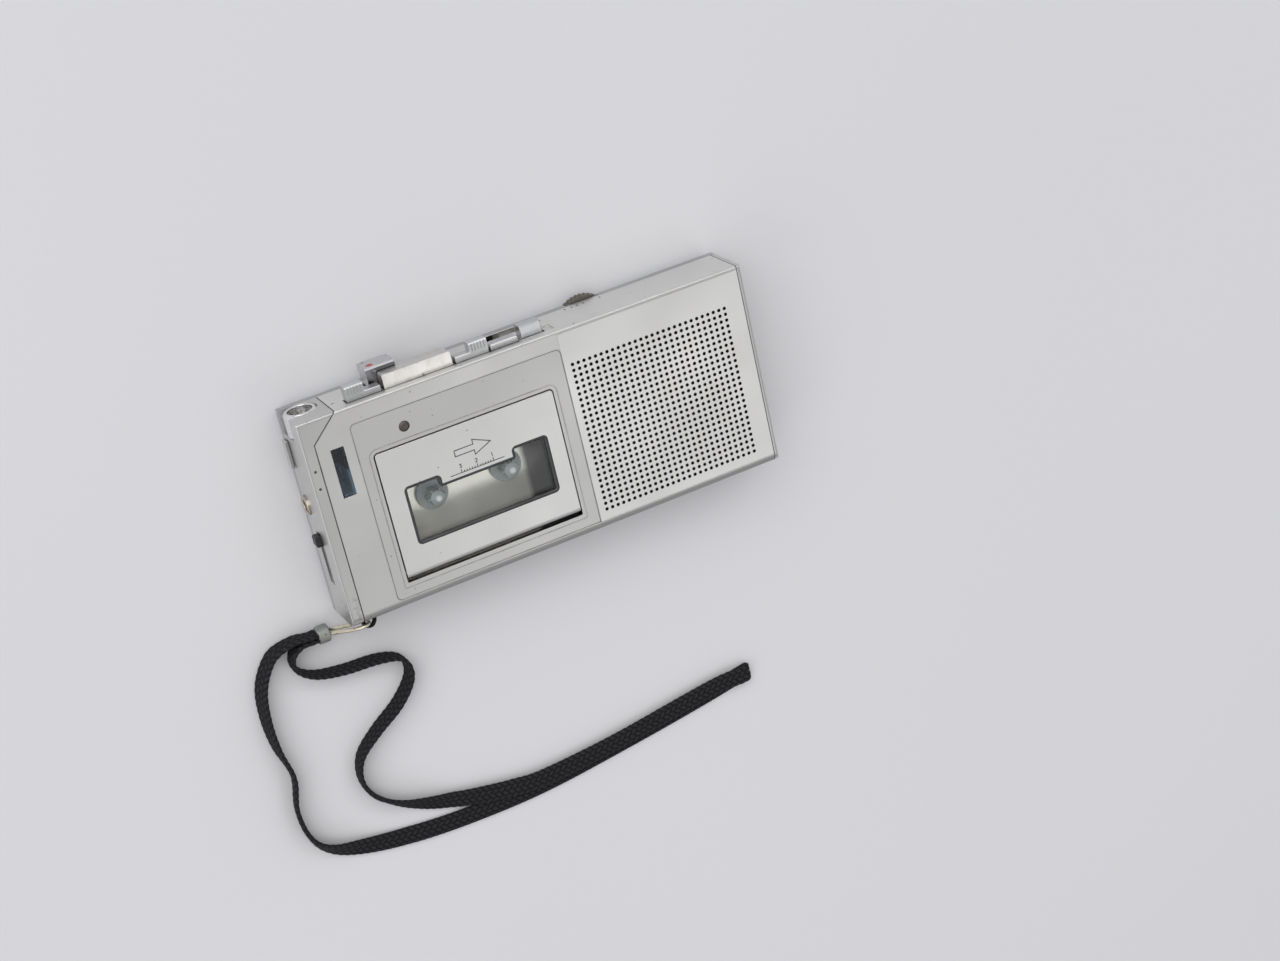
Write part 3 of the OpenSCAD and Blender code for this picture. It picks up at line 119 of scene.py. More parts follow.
def even(course, gap):
    """The same course with its points an even gap apart, and how far along it each one is."""
    steps = np.linalg.norm(np.diff(course[:, :3], axis=0), axis=1)
    run = np.concatenate([[0], np.cumsum(steps)])
    at = np.linspace(0, run[-1], int(run[-1] / gap) + 1)
    rows = [np.interp(at, run, course[:, k]) for k in range(course.shape[1])]
    return np.stack(rows, axis=1), at


def lathe(name, profile, centre, axis, material, body, around):
    """Ring or disc turned round an axis; the profile is a closed row of (radius, height)."""
    axis = Vector(axis)
    side = axis.orthogonal().normalized()
    other = axis.cross(side)
    rows = []
    for k in range(around):
        a = 2 * math.pi * k / around
        out = side * math.cos(a) + other * math.sin(a)
        rows += [Vector(centre) + out * r + axis * h for r, h in profile]
    return piece(name, rows, ring_faces(around, len(profile), True), material, body)


# Camera at the photograph's viewing angle; its place in millimetres, NEAR_LIMIT in metres

SENSOR_W = 36.0
LENS = 66.74
NEAR_LIMIT = 0.01
CAMERA_PLACE = (-191.13, 236.0, 591.98)
CAMERA_BACK = (-0.324, 0.387, 0.8633)
CAMERA_RIGHT = (0.8811, -0.2089, 0.4243)


def add_camera():
    data = bpy.data.cameras.new("camera")
    data.sensor_fit = "HORIZONTAL"
    data.sensor_width = SENSOR_W
    data.lens = LENS
    data.clip_start = NEAR_LIMIT
    camera = bpy.data.objects.new("camera", data)
    bpy.context.collection.objects.link(camera)
    back = Vector(CAMERA_BACK).normalized()
    up = back.cross(Vector(CAMERA_RIGHT)).normalized()
    right = up.cross(back)
    turn = Matrix((right, up, back)).transposed().to_4x4()
    camera.matrix_world = Matrix.Translation(Vector(CAMERA_PLACE) * MM) @ turn
    bpy.context.scene.camera = camera


add_camera()


# Node materials

# Most of a noise lies between these two values
NOISE_RANGE = (0.3, 0.7)
# Shifts that keep noises of one material apart
CLOUD_SHIFT = (3.1, 1.7, 0.4)
STAIN_SHIFT = (0.7, 5.2, 2.3)
SPECK_SHIFT = (9.3, 2.2, 4.4)
STRAND_SHIFT = (1.3, 0.2, 6.0)


class Finish:
    """One procedural material. Lengths are in metres, places in the object's own frame."""

    FACING_TURN = (0.8, 0.95)
    EDGE_TURN = (0.99, 0.85)
    EDGE_SAMPLES = 4

    def __init__(self, name):
        self.material = bpy.data.materials.new(name)
        self.material.use_nodes = True
        self.tree = self.material.node_tree
        self.tree.nodes.clear()
        self.place = self.node("ShaderNodeTexCoord").outputs["Object"]
        self.axes = None

    def node(self, kind, **settings):
        made = self.tree.nodes.new(kind)
        for key, value in settings.items():
            setattr(made, key, value)
        return made

    def put(self, socket, value):
        if isinstance(value, bpy.types.NodeSocket):
            self.tree.links.new(value, socket)
        else:
            socket.default_value = value

    def noise(self, scale, detail=2.0, stretch=(1, 1, 1), shift=(0, 0, 0)):
        spread = self.node("ShaderNodeMapping")
        self.put(spread.inputs["Vector"], self.place)
        spread.inputs["Scale"].default_value = stretch
        spread.inputs["Location"].default_value = shift
        made = self.node("ShaderNodeTexNoise")
        self.put(made.inputs["Vector"], spread.outputs["Vector"])
        made.inputs["Scale"].default_value = scale
        made.inputs["Detail"].default_value = detail
        return made.outputs["Fac"]

    def scaled(self, value, low, high, to_low=0.0, to_high=1.0):
        made = self.node("ShaderNodeMapRange")
        self.put(made.inputs["Value"], value)
        limits = {"From Min": low, "From Max": high, "To Min": to_low, "To Max": to_high}
        for key, number in limits.items():
            made.inputs[key].default_value = number
        return made.outputs["Result"]

    def maths(self, operation, a, b):
        made = self.node("ShaderNodeMath", operation=operation)
        self.put(made.inputs[0], a)
        self.put(made.inputs[1], b)
        return made.outputs["Value"]

    def mix(self, factor, a, b):
        """Colour a where the factor is 0, colour b where it is 1."""
        made = self.node("ShaderNodeMix", data_type="RGBA")
        self.put(made.inputs["Factor"], factor)
        colours = [socket for socket in made.inputs if socket.type == "RGBA"]
        for socket, value in zip(colours, (a, b)):
            self.put(socket, value if isinstance(value, bpy.types.NodeSocket) else (*value, 1.0))
        return next(socket for socket in made.outputs if socket.type == "RGBA")

    def band(self, axis, low, high, soft):
        """1 between two places along an axis, 0 outside."""
        if self.axes is None:
            made = self.node("ShaderNodeSeparateXYZ")
            self.put(made.inputs[0], self.place)
            self.axes = made.outputs
        rise = self.scaled(self.axes[axis], low - soft, low + soft)
        fall = self.scaled(self.axes[axis], high - soft, high + soft, 1.0, 0.0)
        return self.maths("MULTIPLY", rise, fall)

    def inside(self, box, soft):
        """1 inside a box given in millimetres as three ranges, of which None leaves an axis open."""
        mask = None
        for axis, reach in enumerate(box):
            if reach is None:
                continue
            part = self.band(axis, reach[0] * MM, reach[1] * MM, soft)
            mask = part if mask is None else self.maths("MULTIPLY", mask, part)
        return mask

    def towards(self, axis):
        """1 on faces that look along an axis of the object, 0 on the others."""
        parts = self.node("ShaderNodeSeparateXYZ")
        self.put(parts.inputs[0], self.node("ShaderNodeTexCoord").outputs["Normal"])
        return self.scaled(parts.outputs[axis], *self.FACING_TURN)

    def corners(self, radius):
        """Softened normal and a mask of the sharp edges."""
        soft = self.node("ShaderNodeBevel", samples=self.EDGE_SAMPLES)
        soft.inputs["Radius"].default_value = radius
        flat = self.node("ShaderNodeNewGeometry").outputs["Normal"]
        turned = self.node("ShaderNodeVectorMath", operation="DOT_PRODUCT")
        self.put(turned.inputs[0], soft.outputs["Normal"])
        self.put(turned.inputs[1], flat)
        return soft.outputs["Normal"], self.scaled(turned.outputs["Value"], *self.EDGE_TURN)

    def bump(self, height, distance, normal=None):
        made = self.node("ShaderNodeBump")
        made.inputs["Strength"].default_value = 1.0
        made.inputs["Distance"].default_value = distance
        self.put(made.inputs["Height"], height)
        if normal is not None:
            self.put(made.inputs["Normal"], normal)
        return made.outputs["Normal"]

    def blend(self, factor, first, second):
        """Mix of two shaders."""
        made = self.node("ShaderNodeMixShader")
        self.put(made.inputs[0], factor)
        self.put(made.inputs[1], first)
        self.put(made.inputs[2], second)
        return made.outputs[0]

    def shade(self, colour, rough, normal, metal=0.0, **constants):
        shader = self.node("ShaderNodeBsdfPrincipled")
        shader.inputs["Metallic"].default_value = metal
        self.put(shader.inputs["Base Color"], colour)
        self.put(shader.inputs["Roughness"], rough)
        self.put(shader.inputs["Normal"], normal)
        for key, value in constants.items():
            shader.inputs[key].default_value = value
        return self.close(shader.outputs["BSDF"])

    def close(self, surface):
        out = self.node("ShaderNodeOutputMaterial")
        self.put(out.inputs["Surface"], surface)
        return self.material


def times(colour, factor):
    return tuple(min(c * factor, 1.0) for c in colour)


GRAIN_RANGE = (0.35, 0.65)
GRAIN_DARK = 0.55
STAIN_RANGE = (0.5, 0.72)
STAIN_SOFT = 2.0
# Patches of the lighter edges, which stand partly for wear and partly for a painted highlight
EDGE_MARK_SCALE = 350.0
EDGE_MARK_RANGE = (0.3, 0.6)
EDGE_MARK_LEAST = 0.25
SPECK_SCALE = 520.0
SPECK_SOFT = 0.02


def rigid(name, colour, rough=0.4, metal=0.0, grain=(1500, 0.05), cloud=(45, 0.05), rough_share=0.1,
          relief=4, stretch=(1, 1, 1), edge_radius=0.18, edge_wear_and_highlight=1.1, edge_rough=-0.05, specks=None,
          parts=(), stains=(), facing_shade=None, **constants):
    """Hard surface: fine grain, slow clouding, lighter edges for wear and a painted highlight, specks, and
    areas of another colour.

    grain and cloud are a noise scale and a share. relief is in microns, edge_radius in millimetres.
    specks are a threshold and a colour, and facing is an axis and the colour of faces that look along it:
    painted light and shade.
    parts are rows of box, colour and softness, many of them painted highlights and painted shade; stains rows
    of box, colour, amount and noise scale.
    """
    f = Finish(name)
    fine = f.noise(grain[0], detail=3.0, stretch=stretch)
    slow = f.noise(cloud[0], detail=3.0, shift=CLOUD_SHIFT)
    tone = f.mix(f.scaled(slow, *NOISE_RANGE), times(colour, 1 - cloud[1]), times(colour, 1 + cloud[1]))
    tone = f.mix(f.scaled(fine, *GRAIN_RANGE, 0.0, grain[1]), tone, times(colour, GRAIN_DARK))
    roughness = f.scaled(slow, *NOISE_RANGE, rough - rough_share / 2, rough + rough_share / 2)
    # Faces that look along the given axis take another tone: painted light and shade for how the light falls
    # on them
    if facing_shade:
        tone = f.mix(f.towards(facing_shade[0]), tone, facing_shade[1])
    # Boxes of another colour; most of them are painted highlights and painted shade
    for box, other, soft in parts:
        tone = f.mix(f.inside(box, soft * MM), tone, other)
    for box, other, amount, scale in stains:
        spread = f.scaled(f.noise(scale, detail=4.0, shift=STAIN_SHIFT), *STAIN_RANGE, 0.0, amount)
        tone = f.mix(f.maths("MULTIPLY", spread, f.inside(box, STAIN_SOFT * MM)), tone, other)
    # Sharp edges take a lighter tone, partly wear and partly a painted highlight along the edge
    normal, worn_and_lit = f.corners(edge_radius * MM)
    uneven = f.scaled(f.noise(EDGE_MARK_SCALE, detail=4.0), *EDGE_MARK_RANGE, EDGE_MARK_LEAST, 1.0)
    patchy = f.maths("MULTIPLY", worn_and_lit, uneven)
    tone = f.mix(patchy, tone, times(colour, edge_wear_and_highlight))
    roughness = f.maths("ADD", roughness, f.maths("MULTIPLY", patchy, edge_rough))
    if specks:
        density, dark = specks
        dirt = f.scaled(f.noise(SPECK_SCALE, shift=SPECK_SHIFT), density, density + SPECK_SOFT)
        tone = f.mix(dirt, tone, dark)
    return f.shade(tone, roughness, f.bump(fine, relief * MICRON, normal), metal, **constants)


SCRATCH_SCALE = 900.0
SCRATCH_STRETCH = (1.0, 0.05, 1.0)
SCRATCH_RELIEF = 1
HAZE_SCALE = 160.0
HAZE_RANGE = (0.45, 0.75)


def clear(name, tint, haze, gloss_rough, bend, haze_share):
    """See-through plastic: a tinted clear layer under a thin shine, with faint haze and scratches."""
    f = Finish(name)
    lines = f.noise(SCRATCH_SCALE, detail=3.0, stretch=SCRATCH_STRETCH)
    through = f.node("ShaderNodeBsdfTransparent")
    through.inputs["Color"].default_value = (*tint, 1.0)
    veil = f.node("ShaderNodeBsdfDiffuse")
    veil.inputs["Color"].default_value = (*haze, 1.0)
    haze_amount = f.scaled(f.noise(HAZE_SCALE, detail=4.0), *HAZE_RANGE, 0.0, haze_share)
    layer = f.blend(haze_amount, through.outputs[0], veil.outputs[0])
    shine = f.node("ShaderNodeBsdfGlossy")
    shine.inputs["Color"].default_value = (1, 1, 1, 1)
    f.put(shine.inputs["Roughness"], f.scaled(lines, *NOISE_RANGE, gloss_rough, gloss_rough * 2))
    f.put(shine.inputs["Normal"], f.bump(lines, SCRATCH_RELIEF * MICRON))
    angle = f.node("ShaderNodeFresnel")
    angle.inputs["IOR"].default_value = bend
    return f.close(f.blend(angle.outputs[0], layer, shine.outputs[0]))


FUZZ_SCALE = 5200.0
FUZZ_RELIEF = 30
FUZZ_RANGE = (0.5, 0.75)
FUZZ_SHARE = 0.3
FUZZ_ROUGH = (0.62, 0.9)
STRAND_SCALE = 1500.0
STRAND_RANGE = (0.35, 0.7)
STRAND_TONES = (0.8, 1.2)
CROWN_RANGE = (0.3, 0.95)


def braid(name, gap, top):
    """Woven cord: strand tops lighter than the gaps between them, where the darker tone is painted shade,
    with fine fibres over the mesh's braid.
    """
    f = Finish(name)
    fuzz = f.noise(FUZZ_SCALE, detail=3.0)
    uneven = f.noise(STRAND_SCALE, shift=STRAND_SHIFT)
    height = f.node("ShaderNodeAttribute", attribute_name="crown").outputs["Fac"]
    strand = f.mix(f.scaled(uneven, *STRAND_RANGE), *[times(top, share) for share in STRAND_TONES])
    # Low points take the gap colour: painted shade in the creases of the braid
    tone = f.mix(f.scaled(height, *CROWN_RANGE), gap, strand)
    tone = f.mix(f.scaled(fuzz, *FUZZ_RANGE, 0.0, FUZZ_SHARE), tone, top)
    rough = f.scaled(fuzz, *NOISE_RANGE, *FUZZ_ROUGH)
    return f.shade(tone, rough, f.bump(fuzz, FUZZ_RELIEF * MICRON),
                   **{"Sheen Weight": 0.015, "Specular IOR Level": 0.14})


# Colours and areas that several materials share; an area is a box in millimetres

DARK = (0.012, 0.012, 0.013)
GRIME = (0.25, 0.24, 0.22)
DUST = (0.3, 0.28, 0.26)
SHADED_GREEN = (0.1, 0.1, 0.075)
HIGHLIGHT_WHITE = (0.9, 0.9, 0.9)
# White of painted highlights
UP = 2
# Painted shade on the rounded thumb-side edge
THUMB_EDGE_SHADE = ((-70, 70), (-32, -28.4), (0, 30))
KEY_EDGE = ((-66, 66), (20, 30.5), (17, 22))
# Painted shade: near black in the pocket under the door's hinge edge
HINGE_POCKET_SHADE = ((-49, 5), (-24, -22.5), (10, 20.3))
# Painted shade along the door's lower, rounded hinge edge
HINGE_EDGE_SHADE = ((-49, 5), (-24, -22.25), (10, 20.86))
# Painted shade: dark olive on the left half of the latch ledge inside the well
LATCH_LEFT_SHADE = ((-7.5, -3.6), (27, 29.95), (5.9, 10.4))
CAP_CORNER = ((-67, -54), (-30, -22), (15, 22))
# Painted shade on the floor of the speed switch channel
SPEED_TRACK_SHADE = ((-65.7, -65.3), (-19.5, -3.7), (9.9, 14.1))
WINDOW_WALLS = ((-43.2, 0.2), (-14.5, 3.5), (18.0, 20.96))
GRILLE_MIDDLE = ((30, 62), (-22, 20), (20, 22))
# Painted highlight along the record key's top edge
REC_TOP_HIGHLIGHT = ((-43, -34), (35.1, 35.7), (13.45, 14.1))
# Painted highlight along the stop key's top edge
STOP_TOP_HIGHLIGHT = ((-9, -0.5), (31.4, 31.9), (17.9, 18.5))
# Painted highlight along the top edge of the rewind and forward pads
PAD_TOP_HIGHLIGHT = ((-52, -8), (33.72, 34.2), (17.8, 18.5))
# Painted light: a lighter front face on the forward pad
FORWARD_FACE_LIGHT = ((-19.3, -9.2), (27, 33.8), (18.2, 18.5))
# Painted highlights along the steps of the rewind pad and the forward pad
REWIND_STEP_HIGHLIGHT = ((-45.3, -40), (31.5, 32.05), (17.9, 18.5))
FORWARD_STEP_HIGHLIGHT = ((-20, -14.6), (31.5, 32.05), (17.9, 18.5))
PLAY_BACK = ((-41, -19), (33.8, 34.2), (9, 14.4))
PLAY_ALL = ((-41, -19), (25, 36), (9, 20))
EJECT_FOOT = ((-10, 10), (20, 29.8), (5, 11))
# Painted shade: dark olive over the left end of the eject slide's foot inside the well
EJECT_FOOT_LEFT_SHADE = ((-10, -1.4), (20, 29.8), (5, 11))
# Painted light and reflection on the tape well's floor: brighter and warmer on the left, a darker grey band
# lower down; the right end is near black
WELL_LEFT_LIGHT = ((-60, -33), (-40, 30), (9, 12))
WELL_LOW_REFLECTION = ((-33, 5), (-20, -9.5), (9, 12))
WELL_RIGHT = ((-4.6, 20), (-40, 30), (9, 12))
# Painted shade of the meter's recess: near black over its upper part and its left side
METER_TOP_SHADE = ((-70, -50), (13.0, 30), (10, 21))
METER_SIDE_SHADE = ((-70, -58.2), (0, 30), (10, 21))
# Painted highlight: near white on the spindle tips, for their glints
SPINDLE_TIP_GLINTS = ((-60, 20), (-30, 20), (15.9, 20))
CELL_FOOT = ((-30, 15), None, None)
CELL_CAP = ((55, 80), None, None)


# Case, panel and door

# Case: painted light and shade; faces that look up (the front) darker than the sides, the thumb edge
# darkened, the hinge pocket near black and the latch ledge dark olive
case_metal = rigid("case_silver", (0.77, 0.767, 0.748), rough=0.36, metal=1.0, grain=(2600, 0.06),
                   cloud=(30, 0.03), relief=2, specks=(0.735, GRIME), facing_shade=(UP, (0.56, 0.557, 0.54)),
                   parts=((THUMB_EDGE_SHADE, (0.25, 0.247, 0.24), 1.2), (HINGE_POCKET_SHADE, DARK, 0.03),
                          (LATCH_LEFT_SHADE, SHADED_GREEN, 0.15)),
                   stains=((KEY_EDGE, (0.5, 0.47, 0.43), 0.25, 260.0),))
# End cap: painted light and shade; faces that look up (the front) darker than the sides and the speed switch
# channel darkened
cap_silver = rigid("cap_silver", (0.63, 0.627, 0.612), rough=0.34, metal=0.95, grain=(2600, 0.05),
                   cloud=(35, 0.035), relief=2, specks=(0.745, GRIME), facing_shade=(UP, (0.48, 0.477, 0.464)),
                   parts=((SPEED_TRACK_SHADE, (0.4, 0.385, 0.385), 0.1),),
                   stains=((CAP_CORNER, (0.12, 0.11, 0.1), 0.75, 620.0),))
# Panel: painted shade, near black in the hinge pocket
panel_metal = rigid("panel_satin", (0.55, 0.547, 0.53), rough=0.38, metal=1.0, grain=(2400, 0.05),
                    cloud=(26, 0.03), relief=2, specks=(0.735, DUST), parts=((HINGE_POCKET_SHADE, DARK, 0.03),))
# Door: painted shade, dark along the lower hinge edge
door_metal = rigid("door_satin", (0.665, 0.662, 0.645), rough=0.38, metal=1.0, grain=(2400, 0.05),
                   cloud=(26, 0.03), relief=2, specks=(0.74, DUST),
                   parts=((WINDOW_WALLS, (0.06, 0.06, 0.064), 0.02), (HINGE_EDGE_SHADE, DARK, 0.05)))
# Grille: the base tone is painted shade, near black on every face but the front so the hole walls read dark;
# the front's tone is the satin metal
grille_metal = rigid("grille_satin", (0.02, 0.02, 0.02), rough=0.36, metal=1.0, grain=(2400, 0.04),
                     cloud=(26, 0.03), relief=2, edge_radius=0.04, edge_wear_and_highlight=1.0, edge_rough=0.0,
                     facing_shade=(UP, (0.65, 0.647, 0.63)),
                     stains=((GRILLE_MIDDLE, (0.55, 0.47, 0.33), 0.3, 130.0),))
rear_grey = rigid("rear_grey", (0.47, 0.475, 0.48), rough=0.42, metal=0.9, grain=(2200, 0.08),
                  cloud=(40, 0.05), relief=5, specks=(0.74, (0.15, 0.15, 0.15)))


# Keys and other controls

# Record key: painted light and shade; faces that look up painted dark and a white painted highlight along its
# top edge
chrome_key = rigid("key_chrome", (0.6, 0.6, 0.61), rough=0.26, metal=1.0, grain=(1500, 0.05),
                   cloud=(120, 0.06), rough_share=0.08, relief=1, edge_radius=0.12, edge_wear_and_highlight=1.2,
                   specks=(0.72, DUST), facing_shade=(UP, (0.2, 0.2, 0.205)),
                   parts=((REC_TOP_HIGHLIGHT, (1.0, 1.0, 1.0), 0.05),))
# Stop key: faces that look up painted darker, and a painted highlight along its top edge
stop_metal = rigid("stop_silver", (0.58, 0.58, 0.585), rough=0.3, metal=1.0, grain=(1500, 0.06),
                   cloud=(120, 0.05), relief=2, edge_radius=0.1, edge_wear_and_highlight=1.2, specks=(0.7, DUST),
                   facing_shade=(UP, (0.44, 0.445, 0.445)), parts=((STOP_TOP_HIGHLIGHT, (0.78, 0.78, 0.78), 0.06),))
# Rewind and forward pads: faces that look up painted darker, the forward pad's front painted lighter, and
# painted highlights along top edges and steps
pad_metal = rigid("pad_silver", (0.62, 0.625, 0.63), rough=0.34, metal=1.0, grain=(2000, 0.08),
                  cloud=(130, 0.06), relief=3, edge_radius=0.1, edge_rough=0.0, specks=(0.7, DUST),
                  facing_shade=(UP, (0.42, 0.425, 0.42)),
                  parts=((FORWARD_FACE_LIGHT, (0.52, 0.525, 0.52), 0.1), (PAD_TOP_HIGHLIGHT, (0.98, 0.98, 0.98), 0.06),
                         (REWIND_STEP_HIGHLIGHT, HIGHLIGHT_WHITE, 0.06), (FORWARD_STEP_HIGHLIGHT, HIGHLIGHT_WHITE, 0.06)))
# Play key: faces that look up painted lighter, and its edges lightened strongly, partly as a painted
# highlight
play_metal = rigid("play_warm", (0.68, 0.67, 0.65), rough=0.32, metal=1.0, grain=(1400, 0.06),
                   cloud=(170, 0.05), relief=2, edge_radius=0.3, edge_wear_and_highlight=1.6,
                   specks=(0.69, (0.4, 0.35, 0.3)), facing_shade=(UP, (0.79, 0.77, 0.73)),
                   parts=((PLAY_BACK, (0.36, 0.36, 0.365), 0.15),),
                   stains=((PLAY_ALL, (0.62, 0.56, 0.48), 0.55, 420.0),))
# Eject slide: edges lightened strongly, partly as a painted highlight, and the left end of its foot painted
# dark olive shade
eject_metal = rigid("eject_silver", (0.57, 0.575, 0.58), rough=0.3, metal=1.0, grain=(1600, 0.06),
                    cloud=(150, 0.05), relief=2, edge_radius=0.4, edge_wear_and_highlight=1.5, edge_rough=-0.12,
                    parts=((EJECT_FOOT, (0.98, 0.92, 0.88), 0.2), (EJECT_FOOT_LEFT_SHADE, SHADED_GREEN, 0.1)))
wheel_dark = rigid("wheel_bronze", (0.13, 0.118, 0.1), rough=0.46, metal=0.5, grain=(1800, 0.2),
                   cloud=(150, 0.12), relief=6, edge_wear_and_highlight=1.8)
black_plastic = rigid("black_plastic", (0.018, 0.018, 0.02), rough=0.42, grain=(2600, 0.2),
                      cloud=(90, 0.15), relief=8, edge_wear_and_highlight=2.2)


# Microphone, socket, meter and lamp

bright_metal = rigid("bright_metal", (0.8, 0.8, 0.8), rough=0.18, metal=1.0, grain=(1400, 0.05),
                     cloud=(150, 0.04), rough_share=0.08, relief=1)
dark_mesh = rigid("mesh_grey", (0.3, 0.285, 0.265), metal=0.9, grain=(1500, 0.1), relief=6)
jack_plate = rigid("jack_plate", (0.58, 0.52, 0.45), rough=0.34, metal=1.0, grain=(1100, 0.1),
                   cloud=(240, 0.1), relief=3, specks=(0.66, (0.3, 0.2, 0.14)))
# Meter face: painted shade, near black at the top and the left side where the recess edge shades it
meter_face = rigid("meter_face", (0.4, 0.49, 0.54), rough=0.5, grain=(2200, 0.15), cloud=(300, 0.18),
                   parts=((METER_TOP_SHADE, (0.004, 0.004, 0.006), 0.25), (METER_SIDE_SHADE, (0.008, 0.008, 0.01), 0.1)))
pointer_dark = rigid("pointer_grey", (0.1, 0.14, 0.16), rough=0.5, grain=(1500, 0.1))
lamp_brown = rigid("lamp_brown", (0.065, 0.046, 0.042), rough=0.36, grain=(1600, 0.25), cloud=(500, 0.2),
                   relief=6, **{"Coat Weight": 0.3, "Coat Roughness": 0.25})


# Tape drive, loudspeaker, boards and cells

steel = rigid("plated_steel", (0.66, 0.67, 0.68), rough=0.26, metal=1.0, grain=(1200, 0.08),
              cloud=(90, 0.06), relief=2, stretch=(0.15, 1, 1))
# Chassis floor: painted light and reflection, brighter and warmer to the left and a darker band lower down;
# very dark towards the right end
chassis_metal = rigid("chassis_bright", (1.0, 0.95, 0.87), rough=0.285, metal=0.5, grain=(1200, 0.04),
                      cloud=(60, 0.04), rough_share=0.01, relief=0.2, stretch=(0.2, 1, 1),
                      parts=((WELL_LEFT_LIGHT, (1.0, 0.94, 0.83), 6.0), (WELL_LOW_REFLECTION, (0.72, 0.7, 0.67), 2.5),
                             (WELL_RIGHT, (0.022, 0.022, 0.03), 0.8)))
# Spindles: painted highlight on their tips
spindle_grey = rigid("spindle_grey", (0.4, 0.45, 0.445), rough=0.42, grain=(1600, 0.06), cloud=(200, 0.05),
                     parts=((SPINDLE_TIP_GLINTS, (0.85, 0.86, 0.86), 0.15),))
brass = rigid("brass", (0.56, 0.47, 0.36), rough=0.36, metal=1.0, grain=(1100, 0.1), cloud=(240, 0.1),
              relief=3, specks=(0.68, (0.28, 0.2, 0.13)))
rubber = rigid("rubber_black", (0.03, 0.03, 0.03), rough=0.75, grain=(1800, 0.15), cloud=(150, 0.1),
               relief=10)
board_green = rigid("board_laminate", (0.16, 0.22, 0.09), rough=0.5, grain=(900, 0.12), cloud=(110, 0.15),
                    relief=5)
cone_paper = rigid("cone_paper", (0.24, 0.19, 0.14), rough=0.85, grain=(1500, 0.2), cloud=(180, 0.15),
                   relief=10)
dust_cloth = rigid("dust_cloth", DARK, rough=0.9, grain=(3200, 0.3), cloud=(120, 0.2), relief=20)
jacket = rigid("cell_jacket", (0.16, 0.22, 0.33), rough=0.36, metal=0.4, grain=(1200, 0.06),
               cloud=(70, 0.05), relief=3,
               parts=((CELL_FOOT, (0.72, 0.72, 0.72), 0.2), (CELL_CAP, (0.74, 0.6, 0.35), 0.2)))


# Windows

clear_window = clear("window_clear", (0.97, 0.98, 0.975), (0.8, 0.82, 0.82), gloss_rough=0.03, bend=1.28,
                     haze_share=0.04)
smoked_window = clear("window_smoked", (0.7, 0.76, 0.8), (0.3, 0.33, 0.36), gloss_rough=0.03, bend=1.25,
                      haze_share=0.02)


# Print, seams and trim

print_grey = rigid("print_grey", (0.06, 0.06, 0.063), rough=0.55, grain=(3000, 0.3), cloud=(600, 0.3),
                   relief=3)
seam_dark = rigid("seam_dark", (0.07, 0.07, 0.07), rough=0.6, grain=(2200, 0.3), cloud=(300, 0.4))
seam_soft = rigid("seam_soft", (0.3, 0.295, 0.285), rough=0.5, metal=0.3, grain=(2200, 0.2),
                  cloud=(260, 0.3))
seam_pale = rigid("seam_pale", (0.42, 0.415, 0.4), rough=0.45, metal=0.6, grain=(2200, 0.2),
                  cloud=(260, 0.3))
rim_dark = rigid("rim_dark", (0.045, 0.045, 0.048), rough=0.3, grain=(2200, 0.2), cloud=(200, 0.3), relief=3)
dot_red = rigid("dot_red", (0.43, 0.055, 0.045), grain=(2500, 0.2), cloud=(900, 0.15))


# Wrist strap and what holds it

# The first colour is painted shade in the gaps between strands; the second is the thread's own tone
strap_black = braid("strap_black", (0.006, 0.006, 0.007), (0.026, 0.0255, 0.03))
sleeve_metal = rigid("sleeve_grey", (0.3, 0.315, 0.29), rough=0.5, metal=0.7, grain=(900, 0.15),
                     cloud=(260, 0.12), relief=6, specks=(0.66, (0.16, 0.15, 0.14)))
clip_brass = rigid("clip_brass", (0.74, 0.68, 0.54), rough=0.28, metal=1.0, grain=(900, 0.1),
                   cloud=(260, 0.12), relief=3, specks=(0.66, (0.35, 0.28, 0.18)))


# Which node wears which material

LOOKS = {
    case_metal: ["front_case"],
    cap_silver: ["mic_end_cap", "speaker_end_plate", "mic_sens_switch"],
    panel_metal: ["front_panel"],
    door_metal: ["cassette_door"],
    grille_metal: ["speaker_grille"],
    rear_grey: ["rear_cover", "battery_lid"],
    chrome_key: ["rec_key"],
    stop_metal: ["stop_key"],
    pad_metal: ["rewind_key", "forward_key"],
    play_metal: ["play_key"],
    eject_metal: ["eject_slide"],
    bright_metal: ["mic_barrel"],
    sleeve_metal: ["strap_sleeve"],
    jack_plate: ["jack_bushing"],
    brass: ["flywheel", "motor_pulley"],
    steel: ["door_hinge_pin", "cassette_holder", "capstan_shaft", "thrust_bracket", "drive_motor",
            "head_bridge", "record_play_head", "speaker_frame", "battery_contacts", "case_screws",
            "chassis_screws", "strap_pin"],
    chassis_metal: ["chassis_plate"],
    dark_mesh: ["mic_mesh"],
    black_plastic: ["speed_switch", "jack_housing", "erase_head"],
    meter_face: ["level_meter"],
    pointer_dark: ["meter_pointer"],
    lamp_brown: ["record_lamp"],
    wheel_dark: ["volume_wheel"],
    spindle_grey: ["supply_spindle", "takeup_spindle"],
    rubber: ["drive_belt", "idler_wheel", "pinch_roller"],
    board_green: ["main_board", "volume_board"],
    cone_paper: ["speaker_cone"],
    dust_cloth: ["dust_cloth"],
    jacket: ["battery_cell_1", "battery_cell_2"],
    clear_window: ["door_window"],
    smoked_window: ["meter_window"],
}
for look, names in LOOKS.items():
    for name in names:
        shown = nodes[name].data
        shown.materials.clear()
        shown.materials.append(look)


# Wrist strap, its clip and the cord loop

COURSE_STEPS = 8
STRAP_W = 5.5
STRAP_T = 1.3
